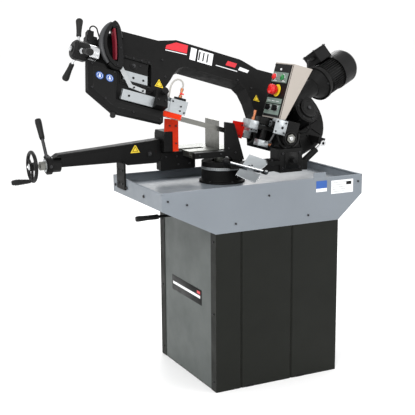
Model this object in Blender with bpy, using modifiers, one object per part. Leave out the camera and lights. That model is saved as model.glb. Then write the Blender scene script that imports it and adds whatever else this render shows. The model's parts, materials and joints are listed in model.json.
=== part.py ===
"""A pivoting metal-cutting band saw on a sheet-metal cabinet, as an assembly of separate pieces.

Metres, +Z up, +X towards the motor end, +Y away from the operator. The origin is on the floor
under the middle of the cabinet. The swinging bow is modelled in a frame of its own at its pivot,
and what belongs to the band wheels in a second frame that leans back with them.
"""

from math import cos, pi, radians, sin

import bmesh
import bpy
from mathutils import Matrix, Vector

# Gaps and stock
GAP = 0.0003
SHEET = 0.002
TRAY_WALL = 0.003

# Cabinet
CABINET_X = 0.29
CABINET_Y = 0.269
CABINET_TOP = 0.665
FLANGE = 0.045
FRONT_PANEL_TOP = 0.776

# Tray
TRAY_LEFT = -0.522
TRAY_RIGHT = 0.407
TRAY_NEAR = -0.269
TRAY_FAR = 0.227
TRAY_RIM = 0.847
TRAY_FLOOR = 0.815
TRAY_LEFT_SKIRT = 0.780
TRAY_RIGHT_SKIRT = 0.768

# Swivel drum, bed and fixed jaw
BLADE_Y = 0.040
DRUM_X = -0.099
DRUM_RADIUS = 0.088
DRUM_TOP = 0.888
BED_TOP = 0.950
BED_THICK = 0.025
JAW_X = -0.103
JAW_TOP = 1.071
NEAR_JAW_Y = (0.000, 0.029)
FAR_JAW_Y = (0.057, 0.190)

# Vise
VISE_Y = 0.143
SCREW_Z = 0.926
SCREW_RADIUS = 0.008
BEAM_Y = (0.118, 0.168)
VISE_SLOT_Y = (0.126, 0.160)
HUB_RADIUS = 0.0295
HANDWHEEL_X = -0.899
HANDWHEEL_RADIUS = 0.058
MOVABLE_JAW_X = (-0.345, -0.280)
MOVABLE_JAW_Y = (0.090, 0.190)

# Swivelling arm and column
ARM_Y = (-0.100, -0.016)
ARM_BASE = 0.8885
ARM_TOP = 0.905
COLUMN_X = (0.105, 0.215)
TONGUE_Y = (-0.065, -0.020)

# Bow: its pivot, its angle at rest, and the lean of its wheel plane
PIVOT = Vector((0.150, BLADE_Y, 0.9985))
PITCH = radians(16.5)
BLADE_DROP = 0.035
WHEEL_LEAN = radians(60)
LUG_RADIUS = 0.034
NEAR_LUG_Y = (-0.145, -0.107)
FAR_LUG_Y = (-0.058, -0.010)

# Band wheels and blade, in the wheel plane
WHEEL_RADIUS = 0.130
WHEEL_HALF_WIDTH = 0.011
IDLE_S = -0.700
DRIVE_S = 0.108
BLADE_WIDTH = 0.020
BLADE_THICK = 0.0009
POCKET_RADIUS = 0.138
TWIST_START = 0.020
TWIST_LENGTH = 0.150

# Casting, in the wheel plane
CASTING_FRONT = 0.040
CASTING_BACK = -0.025
WEB_BACK = 0.022
CASTING_BOTTOM = -0.028
HOUSING_RADIUS = 0.152
BEAM_TOP = 0.342
BEAM_BOTTOM = 0.225

# Tension screw, in the wheel plane
TENSION_H = 0.165
TENSION_D = 0.031
SPOKE_ANGLES = (0, 120, 240)
SPOKE_REACH = 0.142

# Motor, in the wheel plane
MOTOR_D = 0.100
MOTOR_START = Vector((0.225, 0.322, MOTOR_D))
MOTOR_ANGLE = radians(41)
MOTOR_RADIUS = 0.0735
MOTOR_LENGTH = 0.130
COWL_LENGTH = 0.085
COWL_RADIUS = 0.0785

# Control box, in the bow frame
PANEL_X = -0.072
BOX_Y = (-0.140, 0.003)
BOX_Z = (0.064, 0.303)

# Feed cylinder: lower pivot in the saw frame, upper pin in the bow frame
CYLINDER_FOOT = Vector((0.2275, -0.060, 0.8727))
CYLINDER_PIN = Vector((0.195, -0.100, 0.017))
BARREL_LENGTH = 0.103
BARREL_RADIUS = 0.014
ROD_RADIUS = 0.0055


def clear_scene():
    for item in list(bpy.data.objects):
        bpy.data.objects.remove(item, do_unlink=True)


def make_collection(name):
    group = bpy.data.collections.new(name)
    bpy.context.scene.collection.children.link(group)
    return group


clear_scene()
PARTS = make_collection("band_saw")
CUTTERS = make_collection("cutters")
CUTTERS.hide_render = True


def make_material(name, colour, roughness, metallic=0.0):
    material = bpy.data.materials.new(name)
    material.use_nodes = True
    shader = material.node_tree.nodes["Principled BSDF"]
    shader.inputs["Base Color"].default_value = (*colour, 1.0)
    shader.inputs["Roughness"].default_value = roughness
    shader.inputs["Metallic"].default_value = metallic
    return material


CABINET_BLACK = make_material("cabinet_black", (0.030, 0.031, 0.028), 0.55)
CABINET_GREY = make_material("cabinet_grey", (0.160, 0.180, 0.175), 0.50)
TRAY_GREY = make_material("tray_grey", (0.300, 0.340, 0.380), 0.45)
CAST_BLACK = make_material("cast_black", (0.022, 0.022, 0.022), 0.60)
STEEL = make_material("steel", (0.450, 0.450, 0.440), 0.35, 1.0)
BRIGHT_STEEL = make_material("bright_steel", (0.700, 0.710, 0.720), 0.25, 1.0)
ALUMINIUM = make_material("aluminium", (0.560, 0.570, 0.575), 0.40, 1.0)
CAST_IRON = make_material("cast_iron", (0.180, 0.185, 0.170), 0.55, 0.6)
PLASTIC_BLACK = make_material("plastic_black", (0.018, 0.018, 0.018), 0.45)
ORANGE = make_material("guard_orange", (0.750, 0.060, 0.010), 0.45)
RED = make_material("guard_red", (0.560, 0.030, 0.010), 0.40)
BEIGE = make_material("box_beige", (0.620, 0.590, 0.520), 0.50)
GREEN = make_material("button_green", (0.010, 0.250, 0.060), 0.35)
BUTTON_RED = make_material("button_red", (0.600, 0.020, 0.015), 0.35)
TANK_GREY = make_material("tank_grey", (0.400, 0.400, 0.400), 0.50)


def make_frame(name, parent=None, location=(0, 0, 0), rotation=(0, 0, 0)):
    frame = bpy.data.objects.new(name, None)
    frame.location = location
    frame.rotation_euler = rotation
    frame.parent = parent
    PARTS.objects.link(frame)
    return frame


SAW = make_frame("saw_frame")
BOW = make_frame("bow_frame", SAW, PIVOT, (0, PITCH, 0))
WHEELS = make_frame("wheel_frame", BOW, (0, 0, -BLADE_DROP), (WHEEL_LEAN, 0, 0))


def add(name, mesh, frame, material, origin=(0, 0, 0), angle=0.0):
    """A piece whose mesh is about its origin, smooth but for its edges. No material means a cutter."""
    piece = bpy.data.objects.new(name, mesh)
    piece.parent = frame
    piece.location = origin
    mesh.shade_smooth()
    mesh.set_sharp_from_angle(angle=radians(30))
    if material:
        mesh.materials.append(material)
        PARTS.objects.link(piece)
    else:
        CUTTERS.objects.link(piece)
        piece.hide_render = True
        piece.display_type = "WIRE"
    if angle:
        piece.rotation_euler = (0, 0, angle)
    return piece


def to_mesh(name, shape):
    bmesh.ops.recalc_face_normals(shape, faces=shape.faces)
    mesh = bpy.data.meshes.new(name)
    shape.to_mesh(mesh)
    shape.free()
    return mesh


def round_edges(piece, width, segments=2):
    bevel = piece.modifiers.new("rounded", "BEVEL")
    bevel.width = width
    bevel.segments = segments
    bevel.limit_method = "ANGLE"
    bevel.angle_limit = radians(40)
    return piece


def block(name, low, high, frame, material, origin=(0, 0, 0), bevel=0.0):
    low, high, origin = Vector(low), Vector(high), Vector(origin)
    shape = bmesh.new()
    bmesh.ops.create_cube(shape, size=1.0)
    bmesh.ops.scale(shape, vec=high - low, verts=shape.verts)
    bmesh.ops.translate(shape, vec=(high + low) / 2 - origin, verts=shape.verts)
    piece = add(name, to_mesh(name, shape), frame, material, origin)
    if bevel:
        round_edges(piece, bevel)
    return piece


def rod(name, start, end, radius, frame, material, origin=(0, 0, 0), sides=24, end_radius=None, bevel=0.0):
    start, end, origin = Vector(start), Vector(end), Vector(origin)
    reach = end - start
    shape = bmesh.new()
    far_radius = radius if end_radius is None else end_radius
    bmesh.ops.create_cone(
        shape, cap_ends=True, segments=sides, radius1=radius, radius2=far_radius, depth=reach.length
    )
    turn = Vector((0, 0, 1)).rotation_difference(reach).to_matrix()
    bmesh.ops.rotate(shape, matrix=turn, verts=shape.verts)
    bmesh.ops.translate(shape, vec=(start + end) / 2 - origin, verts=shape.verts)
    piece = add(name, to_mesh(name, shape), frame, material, origin)
    if bevel:
        round_edges(piece, bevel)
    return piece


def ball(name, centre, radius, frame, material, origin=(0, 0, 0)):
    shape = bmesh.new()
    bmesh.ops.create_uvsphere(shape, u_segments=16, v_segments=10, radius=radius)
    bmesh.ops.translate(shape, vec=Vector(centre) - Vector(origin), verts=shape.verts)
    return add(name, to_mesh(name, shape), frame, material, origin)


def plate(name, outline, low, high, frame, material, plane="XZ", origin=(0, 0, 0), bevel=0.0):
    """A flat outline given thickness: in plane XZ between two values of Y, in XY of Z, in YZ of X."""
    curve = bpy.data.curves.new(name, "CURVE")
    curve.dimensions = "2D"
    curve.fill_mode = "BOTH"
    curve.extrude = (high - low) / 2
    spline = curve.splines.new("POLY")
    spline.points.add(len(outline) - 1)
    for point, (across, up) in zip(spline.points, outline):
        point.co = (across, up, 0, 1)
    spline.use_cyclic_u = True
    drawn = bpy.data.objects.new(name, curve)
    CUTTERS.objects.link(drawn)
    graph = bpy.context.evaluated_depsgraph_get()
    mesh = bpy.data.meshes.new_from_object(drawn.evaluated_get(graph))
    bpy.data.objects.remove(drawn)
    bpy.data.curves.remove(curve)
    shape = bmesh.new()
    shape.from_mesh(mesh)
    bpy.data.meshes.remove(mesh)
    bmesh.ops.remove_doubles(shape, verts=shape.verts, dist=0.00001)
    middle = (low + high) / 2
    turns = {
        "XY": Matrix.Translation((0, 0, middle)),
        "XZ": Matrix.Translation((0, middle, 0)) @ Matrix.Rotation(pi / 2, 4, "X"),
        "YZ": Matrix.Translation((middle, 0, 0)) @ Matrix(
            ((0, 0, 1, 0), (1, 0, 0, 0), (0, 1, 0, 0), (0, 0, 0, 1))
        ),
    }
    bmesh.ops.transform(shape, matrix=turns[plane], verts=shape.verts)
    bmesh.ops.translate(shape, vec=-Vector(origin), verts=shape.verts)
    piece = add(name, to_mesh(name, shape), frame, material, origin)
    if bevel:
        round_edges(piece, bevel)
    return piece


def turned(name, profile, origin, axis, frame, material, steps=32):
    """A profile of (radius, height) pairs turned about the axis direction through the origin."""
    mesh = bpy.data.meshes.new(name)
    points = [(radius, 0, height) for radius, height in profile]
    edges = [(n, n + 1) for n in range(len(points) - 1)]
    if min(radius for radius, _ in (profile[0], profile[-1])) > 0:
        edges.append((len(points) - 1, 0))
    mesh.from_pydata(points, edges, [])
    piece = add(name, mesh, frame, material, origin)
    piece.rotation_mode = "QUATERNION"
    piece.rotation_quaternion = Vector((0, 0, 1)).rotation_difference(Vector(axis))
    screw = piece.modifiers.new("turned", "SCREW")
    screw.steps = steps
    screw.render_steps = steps
    screw.use_merge_vertices = True
    screw.merge_threshold = 0.00001
    screw.use_smooth_shade = True
    return piece


def combine(piece, other, operation):
    boolean = piece.modifiers.new(f"{operation.lower()}_{other.name}", "BOOLEAN")
    boolean.operation = operation
    boolean.object = other


def cut(piece, *cutters):
    for cutter in cutters:
        combine(piece, cutter, "DIFFERENCE")
    return piece


def join(piece, *others):
    for other in others:
        combine(piece, other, "UNION")
    return piece


def arc(centre, radius, start, end, count):
    """Points along an arc, both ends included, with angles in degrees."""
    angles = [radians(start + (end - start) * n / (count - 1)) for n in range(count)]
    return [(centre[0] + radius * cos(a), centre[1] + radius * sin(a)) for a in angles]


# ---------------------------------------------------------------- cabinet and tray


def cabinet_side(name, side):
    """A folded side panel: two pressed creases and a flange round each corner. Side is -1 near, 1 far."""
    outer = side * CABINET_Y
    inner = outer - side * SHEET
    creases = (-0.1725, 0.0650)
    crease_depth = 0.006
    crease_half = 0.006
    ends = side * (CABINET_Y - FLANGE)
    outside = [(-CABINET_X, ends), (-CABINET_X, outer)]
    inside = [(-CABINET_X + SHEET, ends), (-CABINET_X + SHEET, inner)]
    for crease in creases:
        for points, face in ((outside, outer), (inside, inner)):
            points.append((crease - crease_half, face))
            points.append((crease, face - side * crease_depth))
            points.append((crease + crease_half, face))
    outside += [(CABINET_X, outer), (CABINET_X, ends)]
    inside += [(CABINET_X - SHEET, inner), (CABINET_X - SHEET, ends)]
    return plate(name, outside + inside[::-1], 0.0, CABINET_TOP, SAW, CABINET_BLACK, "XY")


def cabinet():
    cabinet_side("cabinet_side_near", -1)
    cabinet_side("cabinet_side_far", 1)
    face = CABINET_X - SHEET - GAP
    half = CABINET_Y - SHEET - GAP
    low = SHEET + 2 * GAP
    panel_high = (-face + SHEET, half, CABINET_TOP - GAP)
    front = block("cabinet_front_panel", (-face, -half, low), panel_high, SAW, CABINET_GREY)
    upper_low = (-face, -half + 0.0015, CABINET_TOP - 0.02)
    upper = block("front_panel_upper", upper_low, (-face + SHEET, half * 0.82, FRONT_PANEL_TOP), SAW, None)
    slot = block("lever_slot", (-face - 0.01, -0.045, 0.672), (-face + 0.01, 0.125, 0.708), SAW, None)
    cut(join(front, upper), slot)
    block(
        "cabinet_back_panel",
        (face - SHEET, -half, low),
        (face, half, CABINET_TOP - GAP),
        SAW,
        CABINET_BLACK,
    )
    floor_x = CABINET_X - SHEET - GAP
    floor_y = CABINET_Y - SHEET - 0.0075
    block("cabinet_floor", (-floor_x, -floor_y, 0.0), (floor_x, floor_y, SHEET), SAW, CABINET_BLACK)


def chip_tray():
    apron = [
        (TRAY_LEFT, TRAY_RIM),
        (TRAY_LEFT, TRAY_LEFT_SKIRT),
        (-CABINET_X, CABINET_TOP + GAP),
        (CABINET_X, CABINET_TOP + GAP),
        (TRAY_RIGHT, TRAY_RIGHT_SKIRT),
        (TRAY_RIGHT, TRAY_RIM),
    ]
    near = plate("chip_tray", apron, TRAY_NEAR, TRAY_NEAR + TRAY_WALL, SAW, TRAY_GREY)
    far = plate("tray_far_wall", apron, TRAY_FAR - TRAY_WALL, TRAY_FAR, SAW, None)
    left = block(
        "tray_left_wall",
        (TRAY_LEFT, TRAY_NEAR + 0.001, TRAY_LEFT_SKIRT + 0.0001),
        (TRAY_LEFT + TRAY_WALL, TRAY_FAR - 0.001, TRAY_RIM - 0.0001),
        SAW,
        None,
    )
    right = block(
        "tray_right_wall",
        (TRAY_RIGHT - TRAY_WALL, TRAY_NEAR + 0.001, TRAY_RIGHT_SKIRT + 0.0001),
        (TRAY_RIGHT, TRAY_FAR - 0.001, TRAY_RIM - 0.0001),
        SAW,
        None,
    )
    floor = block(
        "tray_floor",
        (TRAY_LEFT + 0.001, TRAY_NEAR + 0.001, TRAY_FLOOR - TRAY_WALL),
        (TRAY_RIGHT - 0.001, TRAY_FAR - 0.001, TRAY_FLOOR),
        SAW,
        None,
    )
    tab = block(
        "tray_tab", (0.165, TRAY_NEAR + 0.0004, 0.830), (0.224, TRAY_NEAR + 0.0028, 0.873), SAW, None
    )
    join(near, far, left, right, floor, tab)


def coolant():
    wall = 0.003
    low = Vector((-0.05, -0.20, SHEET + GAP))
    high = Vector((0.25, 0.10, 0.20))
    tank = block("coolant_tank", low, high, SAW, TANK_GREY)
    inside = Vector((wall, wall, wall))
    hollow = block("tank_hollow", low + inside, high - inside + Vector((0, 0, 0.02)), SAW, None)
    cut(tank, hollow)
    profile = [(0, 0.15), (0.035, 0.15), (0.040, 0.145), (0.040, 0.02), (0.075, 0.02), (0.075, 0.012)]
    profile += [(0.022, 0.012), (0.022, -0.12), (0, -0.12)]
    turned("coolant_pump", profile, (0.10, -0.05, 0.20 + 0.05), (0, 0, 1), SAW, PLASTIC_BLACK)


# ---------------------------------------------------------------- bed


def drum():
    height = DRUM_TOP - TRAY_FLOOR - GAP
    r = DRUM_RADIUS
    profile = [(0, height), (r - 0.003, height), (r, height - 0.003), (r, 0.012), (r + 0.010, 0.008)]
    profile += [(r + 0.010, 0), (0, 0)]
    turned("swivel_drum", profile, (DRUM_X, BLADE_Y, TRAY_FLOOR + GAP), (0, 0, 1), SAW, CAST_BLACK, 48)


def bed():
    bottom = BED_TOP - BED_THICK
    table = block(
        "bed_table", (-0.245, NEAR_JAW_Y[1] + GAP, bottom), (-0.020, 0.262, BED_TOP), SAW, CAST_IRON
    )
    post = rod(
        "bed_post",
        (DRUM_X, BLADE_Y + 0.02, DRUM_TOP + GAP),
        (DRUM_X, BLADE_Y + 0.02, bottom + 0.01),
        0.026,
        SAW,
        None,
    )
    blade_slot = block("blade_slot", (-0.26, 0.0, bottom + 0.009), (0.0, 0.056, BED_TOP + 0.01), SAW, None)
    vise_slot = block(
        "table_vise_slot", (-0.26, VISE_SLOT_Y[0], 0.90), (-0.139, VISE_SLOT_Y[1], 0.97), SAW, None
    )
    corner = [(-0.090, 0.27), (-0.01, 0.27), (-0.01, 0.140)]
    cut(
        join(table, post), blade_slot, vise_slot, plate("table_corner", corner, 0.90, 0.97, SAW, None, "XY")
    )

    strip = [
        (-0.245, BED_TOP),
        (JAW_X, BED_TOP),
        (JAW_X, JAW_TOP),
        (-0.060, 1.064),
        (-0.040, 1.000),
        (-0.012, 0.9065),
        (-0.060, 0.9065),
        (-0.085, bottom),
        (-0.245, bottom),
    ]
    near = plate("fixed_jaw_near", strip, *NEAR_JAW_Y, SAW, CAST_BLACK, bevel=0.0008)
    swing_room = [(JAW_X - 0.001, 0.013), (JAW_X + 0.015, 0.030), (JAW_X - 0.001, 0.030)]
    cut(near, plate("near_jaw_relief", swing_room, BED_TOP + 0.001, JAW_TOP + 0.01, SAW, None, "XY"))
    plan = [
        (JAW_X, FAR_JAW_Y[0]), (JAW_X + 0.012, 0.080), (JAW_X + 0.012, FAR_JAW_Y[1]), (JAW_X, FAR_JAW_Y[1])
    ]
    face = plate("fixed_jaw_far", plan, BED_TOP + GAP, JAW_TOP, SAW, STEEL, "XY")
    rib = [(JAW_X + 0.010, BED_TOP + GAP), (-0.048, BED_TOP + GAP), (JAW_X + 0.010, 1.000)]
    join(face, plate("far_jaw_rib", rib, 0.165, 0.189, SAW, None))


# ---------------------------------------------------------------- vise


def vise_base():
    profile = [
        (-0.815, 0.9565),
        (-0.794, 0.970),
        (-0.609, 0.983),
        (-0.3485, 1.003),
        (-0.3485, 0.925),
        (-0.360, 0.903),
        (-0.500, 0.903),
        (-0.518, 0.918),
        (-0.785, 0.918),
        (-0.785, 0.9565),
    ]
    beam = plate("vise_beam", profile, *BEAM_Y, SAW, CAST_BLACK, bevel=0.0015)
    hollow = block(
        "beam_hollow", (-0.80, BEAM_Y[0] + 0.006, 0.85), (-0.30, BEAM_Y[1] - 0.006, 0.9555), SAW, None
    )
    cut(beam, hollow)
    bar_low = (TRAY_LEFT - 0.0085, 0.082, 0.806)
    block("vise_support_bar", bar_low, (TRAY_LEFT - GAP, 0.166, 0.918 - GAP), SAW, CAST_BLACK, bevel=0.001)
    guide = [
        (-0.3480, 0.866),
        (-0.187, 0.869),
        (-0.187, BED_TOP - BED_THICK - GAP),
        (-0.2455, BED_TOP - BED_THICK - GAP),
        (-0.2455, 0.9455),
        (-0.3480, 0.9455),
    ]
    guide_block = plate("vise_guide_block", guide, *BEAM_Y, SAW, CAST_BLACK)
    slot = block(
        "guide_vise_slot", (-0.35, VISE_SLOT_Y[0], 0.910), (-0.15, VISE_SLOT_Y[1], 0.97), SAW, None
    )
    cut(guide_block, slot)
    centre = (0, VISE_Y, SCREW_Z)
    hub = rod(
        "vise_nose_hub",
        (-0.845, *centre[1:]),
        (-0.7853, *centre[1:]),
        HUB_RADIUS,
        SAW,
        CAST_BLACK,
        sides=32,
    )
    bore = rod("nose_bore", (-0.90, *centre[1:]), (-0.70, *centre[1:]), SCREW_RADIUS + GAP, SAW, None)
    cut(hub, bore)


def movable_jaw():
    low, high = MOVABLE_JAW_X
    origin = (high, VISE_Y, SCREW_Z)
    body = [
        (low, BED_TOP + 0.0005),
        (high, BED_TOP + 0.0005),
        (high, 1.078),
        (high - 0.010, 1.078),
        (high - 0.010, 1.036),
        (low + 0.004, 1.036),
        (low, 1.020),
    ]
    jaw = plate("movable_jaw", body, *MOVABLE_JAW_Y, SAW, CAST_BLACK, origin=origin)
    tongue_y = (VISE_SLOT_Y[0] + 0.0005, VISE_SLOT_Y[1] - 0.0005)
    tongue = block(
        "jaw_tongue", (low + 0.006, tongue_y[0], 0.9115), (low + 0.031, tongue_y[1], 0.96), SAW, None
    )
    bore = rod(
        "nut_bore", (-0.40, VISE_Y, SCREW_Z), (-0.20, VISE_Y, SCREW_Z), SCREW_RADIUS + GAP, SAW, None
    )
    cut(join(jaw, tongue), bore)
    guard = [
        (low, 1.0365),
        (low + 0.002, 1.092),
        (high, 1.084),
        (high, BED_TOP + 0.001),
        (high - 0.026, BED_TOP + 0.001),
        (high - 0.026, 1.0365),
    ]
    near = MOVABLE_JAW_Y[0]
    plate("jaw_guard", guard, near - 0.0035, near - GAP, SAW, ORANGE, origin=origin)


def vise_screw():
    axis = (HANDWHEEL_X, VISE_Y, SCREW_Z)
    screw = rod(
        "vise_screw", (-0.886, *axis[1:]), (-0.142, *axis[1:]), SCREW_RADIUS, SAW, STEEL, origin=axis
    )
    collar = rod("screw_collar", (-0.868, *axis[1:]), (-0.8455, *axis[1:]), 0.018, SAW, None, origin=axis)
    join(screw, collar)
    shape = bmesh.new()
    bmesh.ops.create_cone(shape, cap_ends=True, segments=24, radius1=0.017, radius2=0.017, depth=0.026)
    bmesh.ops.rotate(shape, matrix=Matrix.Rotation(pi / 2, 3, "Y"), verts=shape.verts)
    wheel = add("vise_handwheel", to_mesh("vise_handwheel", shape), SAW, CAST_BLACK, axis)
    bore = rod(
        "wheel_bore", (-0.89, *axis[1:]), (-0.87, *axis[1:]), SCREW_RADIUS + GAP, SAW, None, origin=axis
    )
    bpy.ops.mesh.primitive_torus_add(
        major_segments=40, minor_segments=10, major_radius=HANDWHEEL_RADIUS, minor_radius=0.0075,
        location=axis, rotation=(0, pi / 2, 0),
    )
    rim = bpy.context.active_object
    rim.name = "wheel_rim"
    for group in list(rim.users_collection):
        group.objects.unlink(rim)
    CUTTERS.objects.link(rim)
    rim.hide_render = True
    rim.display_type = "WIRE"
    spokes = []
    for number in range(3):
        angle = radians(-90 + 120 * number)
        reach = Vector((0, cos(angle), sin(angle)))
        start = Vector(axis) + reach * 0.008
        end = Vector(axis) + reach * HANDWHEEL_RADIUS
        spokes.append(rod(f"wheel_spoke_{number}", start, end, 0.0055, SAW, None, origin=axis, sides=10))
    cut(join(wheel, rim, *spokes), bore)
    stud = rod(
        "grip_stud",
        (HANDWHEEL_X + 0.004, VISE_Y, SCREW_Z - HANDWHEEL_RADIUS),
        (-0.988, VISE_Y, SCREW_Z - HANDWHEEL_RADIUS),
        0.004,
        SAW,
        None,
        origin=axis,
        sides=12,
    )
    join(wheel, stud)
    grip = [
        (0.0045, 0.0), (0.008, 0.0), (0.0085, -0.020), (0.0115, -0.055), (0.0105, -0.072), (0.006, -0.078)
    ]
    grip += [(0.0045, -0.078)]
    place = (-0.9085, VISE_Y, SCREW_Z - HANDWHEEL_RADIUS)
    turned("crank_grip", grip, place, (1, 0, 0), SAW, PLASTIC_BLACK, 20)


def lock_lever():
    axis = Vector((-0.831, VISE_Y, SCREW_Z))
    lean = radians(35)
    up = Vector((0, sin(lean), cos(lean)))
    ring = rod(
        "vise_lock_lever",
        axis - Vector((0.009, 0, 0)),
        axis + Vector((0.009, 0, 0)),
        0.037,
        SAW,
        CAST_BLACK,
        origin=axis,
        sides=32,
    )
    stem = rod("lock_stem", axis + up * 0.033, axis + up * 0.20, 0.0065, SAW, None, origin=axis, sides=12)
    grip = rod(
        "lock_grip",
        axis + up * 0.12,
        axis + up * 0.21,
        0.010,
        SAW,
        None,
        origin=axis,
        sides=16,
        end_radius=0.0125,
    )
    bore = rod(
        "lock_bore",
        axis - Vector((0.03, 0, 0)),
        axis + Vector((0.03, 0, 0)),
        HUB_RADIUS + GAP,
        SAW,
        None,
        origin=axis,
        sides=32,
    )
    cut(join(ring, stem, grip), bore)


def bed_lock_lever():
    axis = Vector((DRUM_X, BLADE_Y, 0.690))
    boss = rod(
        "bed_lock_lever",
        axis - Vector((0, 0, 0.012)),
        axis + Vector((0, 0, 0.012)),
        0.022,
        SAW,
        PLASTIC_BLACK,
        origin=axis,
    )
    stem = rod(
        "bed_lever_stem",
        axis - Vector((0.015, 0, 0)),
        axis - Vector((0.32, 0, 0)),
        0.006,
        SAW,
        None,
        origin=axis,
        sides=12,
    )
    grip = rod(
        "bed_lever_grip",
        axis - Vector((0.30, 0, 0)),
        axis - Vector((0.401, 0, 0)),
        0.0095,
        SAW,
        None,
        origin=axis,
        sides=16,
    )
    join(boss, stem, grip)


# ---------------------------------------------------------------- swivelling arm


def swivel_arm():
    centre = (DRUM_X, BLADE_Y)
    origin = (*centre, ARM_BASE)
    disc = rod(
        "swivel_arm",
        (*centre, ARM_BASE),
        (*centre, ARM_TOP),
        DRUM_RADIUS,
        SAW,
        CAST_BLACK,
        origin=origin,
        sides=48,
    )
    arm = block(
        "arm_beam", (DRUM_X - 0.03, ARM_Y[0], ARM_BASE), (COLUMN_X[0] - GAP, ARM_Y[1], ARM_TOP), SAW, None
    )
    rib = block(
        "arm_rib",
        (0.004, ARM_Y[0] + 0.006, 0.862),
        (COLUMN_X[0] - GAP, ARM_Y[1] - 0.006, ARM_TOP - 0.001),
        SAW,
        None,
    )
    hole = rod(
        "post_clearance", (DRUM_X, BLADE_Y, 0.80), (DRUM_X, BLADE_Y, 0.95), 0.0465, SAW, None, sides=32
    )
    cut(join(disc, arm, rib), hole)

    middle = (PIVOT.x, TONGUE_Y[0], PIVOT.z)
    column = block(
        "pivot_column", (COLUMN_X[0], ARM_Y[0], 0.853), (COLUMN_X[1], ARM_Y[1], 0.953), SAW, CAST_BLACK
    )
    lug = block(
        "cylinder_lug",
        (COLUMN_X[1] - 0.02, ARM_Y[0] + 0.001, 0.8575),
        (CYLINDER_FOOT.x + 0.014, CYLINDER_FOOT.y - 0.0145, 0.900),
        SAW,
        None,
    )
    neck = block(
        "column_neck",
        (PIVOT.x - 0.030, TONGUE_Y[0], 0.945),
        (PIVOT.x + 0.030, TONGUE_Y[1], PIVOT.z),
        SAW,
        None,
    )
    eye = rod("column_eye", middle, (PIVOT.x, TONGUE_Y[1], PIVOT.z), 0.032, SAW, None, sides=32)
    bore = rod("column_bore", (PIVOT.x, -0.2, PIVOT.z), (PIVOT.x, 0.1, PIVOT.z), 0.0125 + GAP, SAW, None)
    cut(join(column, neck, eye, lug), bore)


def chip_deflector():
    face = (ARM_Y[0] - 0.0035, ARM_Y[0] - 0.0015)
    upper = [(-0.045, 0.945), (0.030, 0.917), (0.040, 0.897), (0.006, 0.874), (-0.076, 0.905)]
    lower = [(-0.090, 0.889), (0.008, 0.856), (-0.018, 0.823), (-0.110, 0.864)]
    piece = plate("chip_deflector", upper, *face, SAW, ALUMINIUM)
    second = plate("deflector_lower", lower, face[0] + 0.0004, face[1] + 0.0004, SAW, None)
    strap = block(
        "deflector_strap", (-0.055, face[0] + 0.0012, 0.855), (-0.025, ARM_Y[0] - GAP, 0.920), SAW, None
    )
    join(piece, second, strap)


def swivel_lock_lever():
    axis = Vector((0.026, -0.112, 0.868))
    reach = Vector((-0.186, 0, 0.058))
    boss = rod(
        "swivel_lock_lever",
        axis - Vector((0, 0.006, 0)),
        axis + Vector((0, 0.0177, 0)),
        0.013,
        SAW,
        PLASTIC_BLACK,
        origin=axis,
    )
    stem = rod(
        "swivel_lever_stem",
        axis + reach * 0.05,
        axis + reach * 0.96,
        0.005,
        SAW,
        None,
        origin=axis,
        sides=12,
    )
    knob = ball("swivel_lever_knob", axis + reach, 0.014, SAW, None, origin=axis)
    join(boss, stem, knob)


# ---------------------------------------------------------------- bow


def casting_outline():
    idle = (IDLE_S, WHEEL_RADIUS)
    drive = (DRIVE_S, WHEEL_RADIUS)
    full = WHEEL_RADIUS - CASTING_BOTTOM
    outline = arc(idle, full, 270, 230, 5)
    outline += arc(idle, HOUSING_RADIUS, 220, 180, 5)
    outline += [(-0.852, 0.235), (-0.829, 0.264), (-0.750, 0.306), (-0.579, 0.313), (-0.510, 0.336)]
    outline += [(-0.494, BEAM_TOP), (-0.174, BEAM_TOP), (-0.160, 0.339), (-0.086, 0.318), (0.020, 0.322)]
    outline += arc(drive, full, 80, -90, 17)
    outline += [(-0.105, CASTING_BOTTOM), (-0.107, 0.080)]
    outline += [(-0.109, 0.109), (-0.128, 0.162), (-0.152, 0.204), (-0.180, BEAM_BOTTOM)]
    outline += [(-0.455, BEAM_BOTTOM), (-0.480, 0.210), (-0.500, 0.183), (-0.522, 0.140)]
    outline += [(-0.547, 0.098), (-0.5595, 0.070), (-0.5595, CASTING_BOTTOM)]
    return outline


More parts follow.
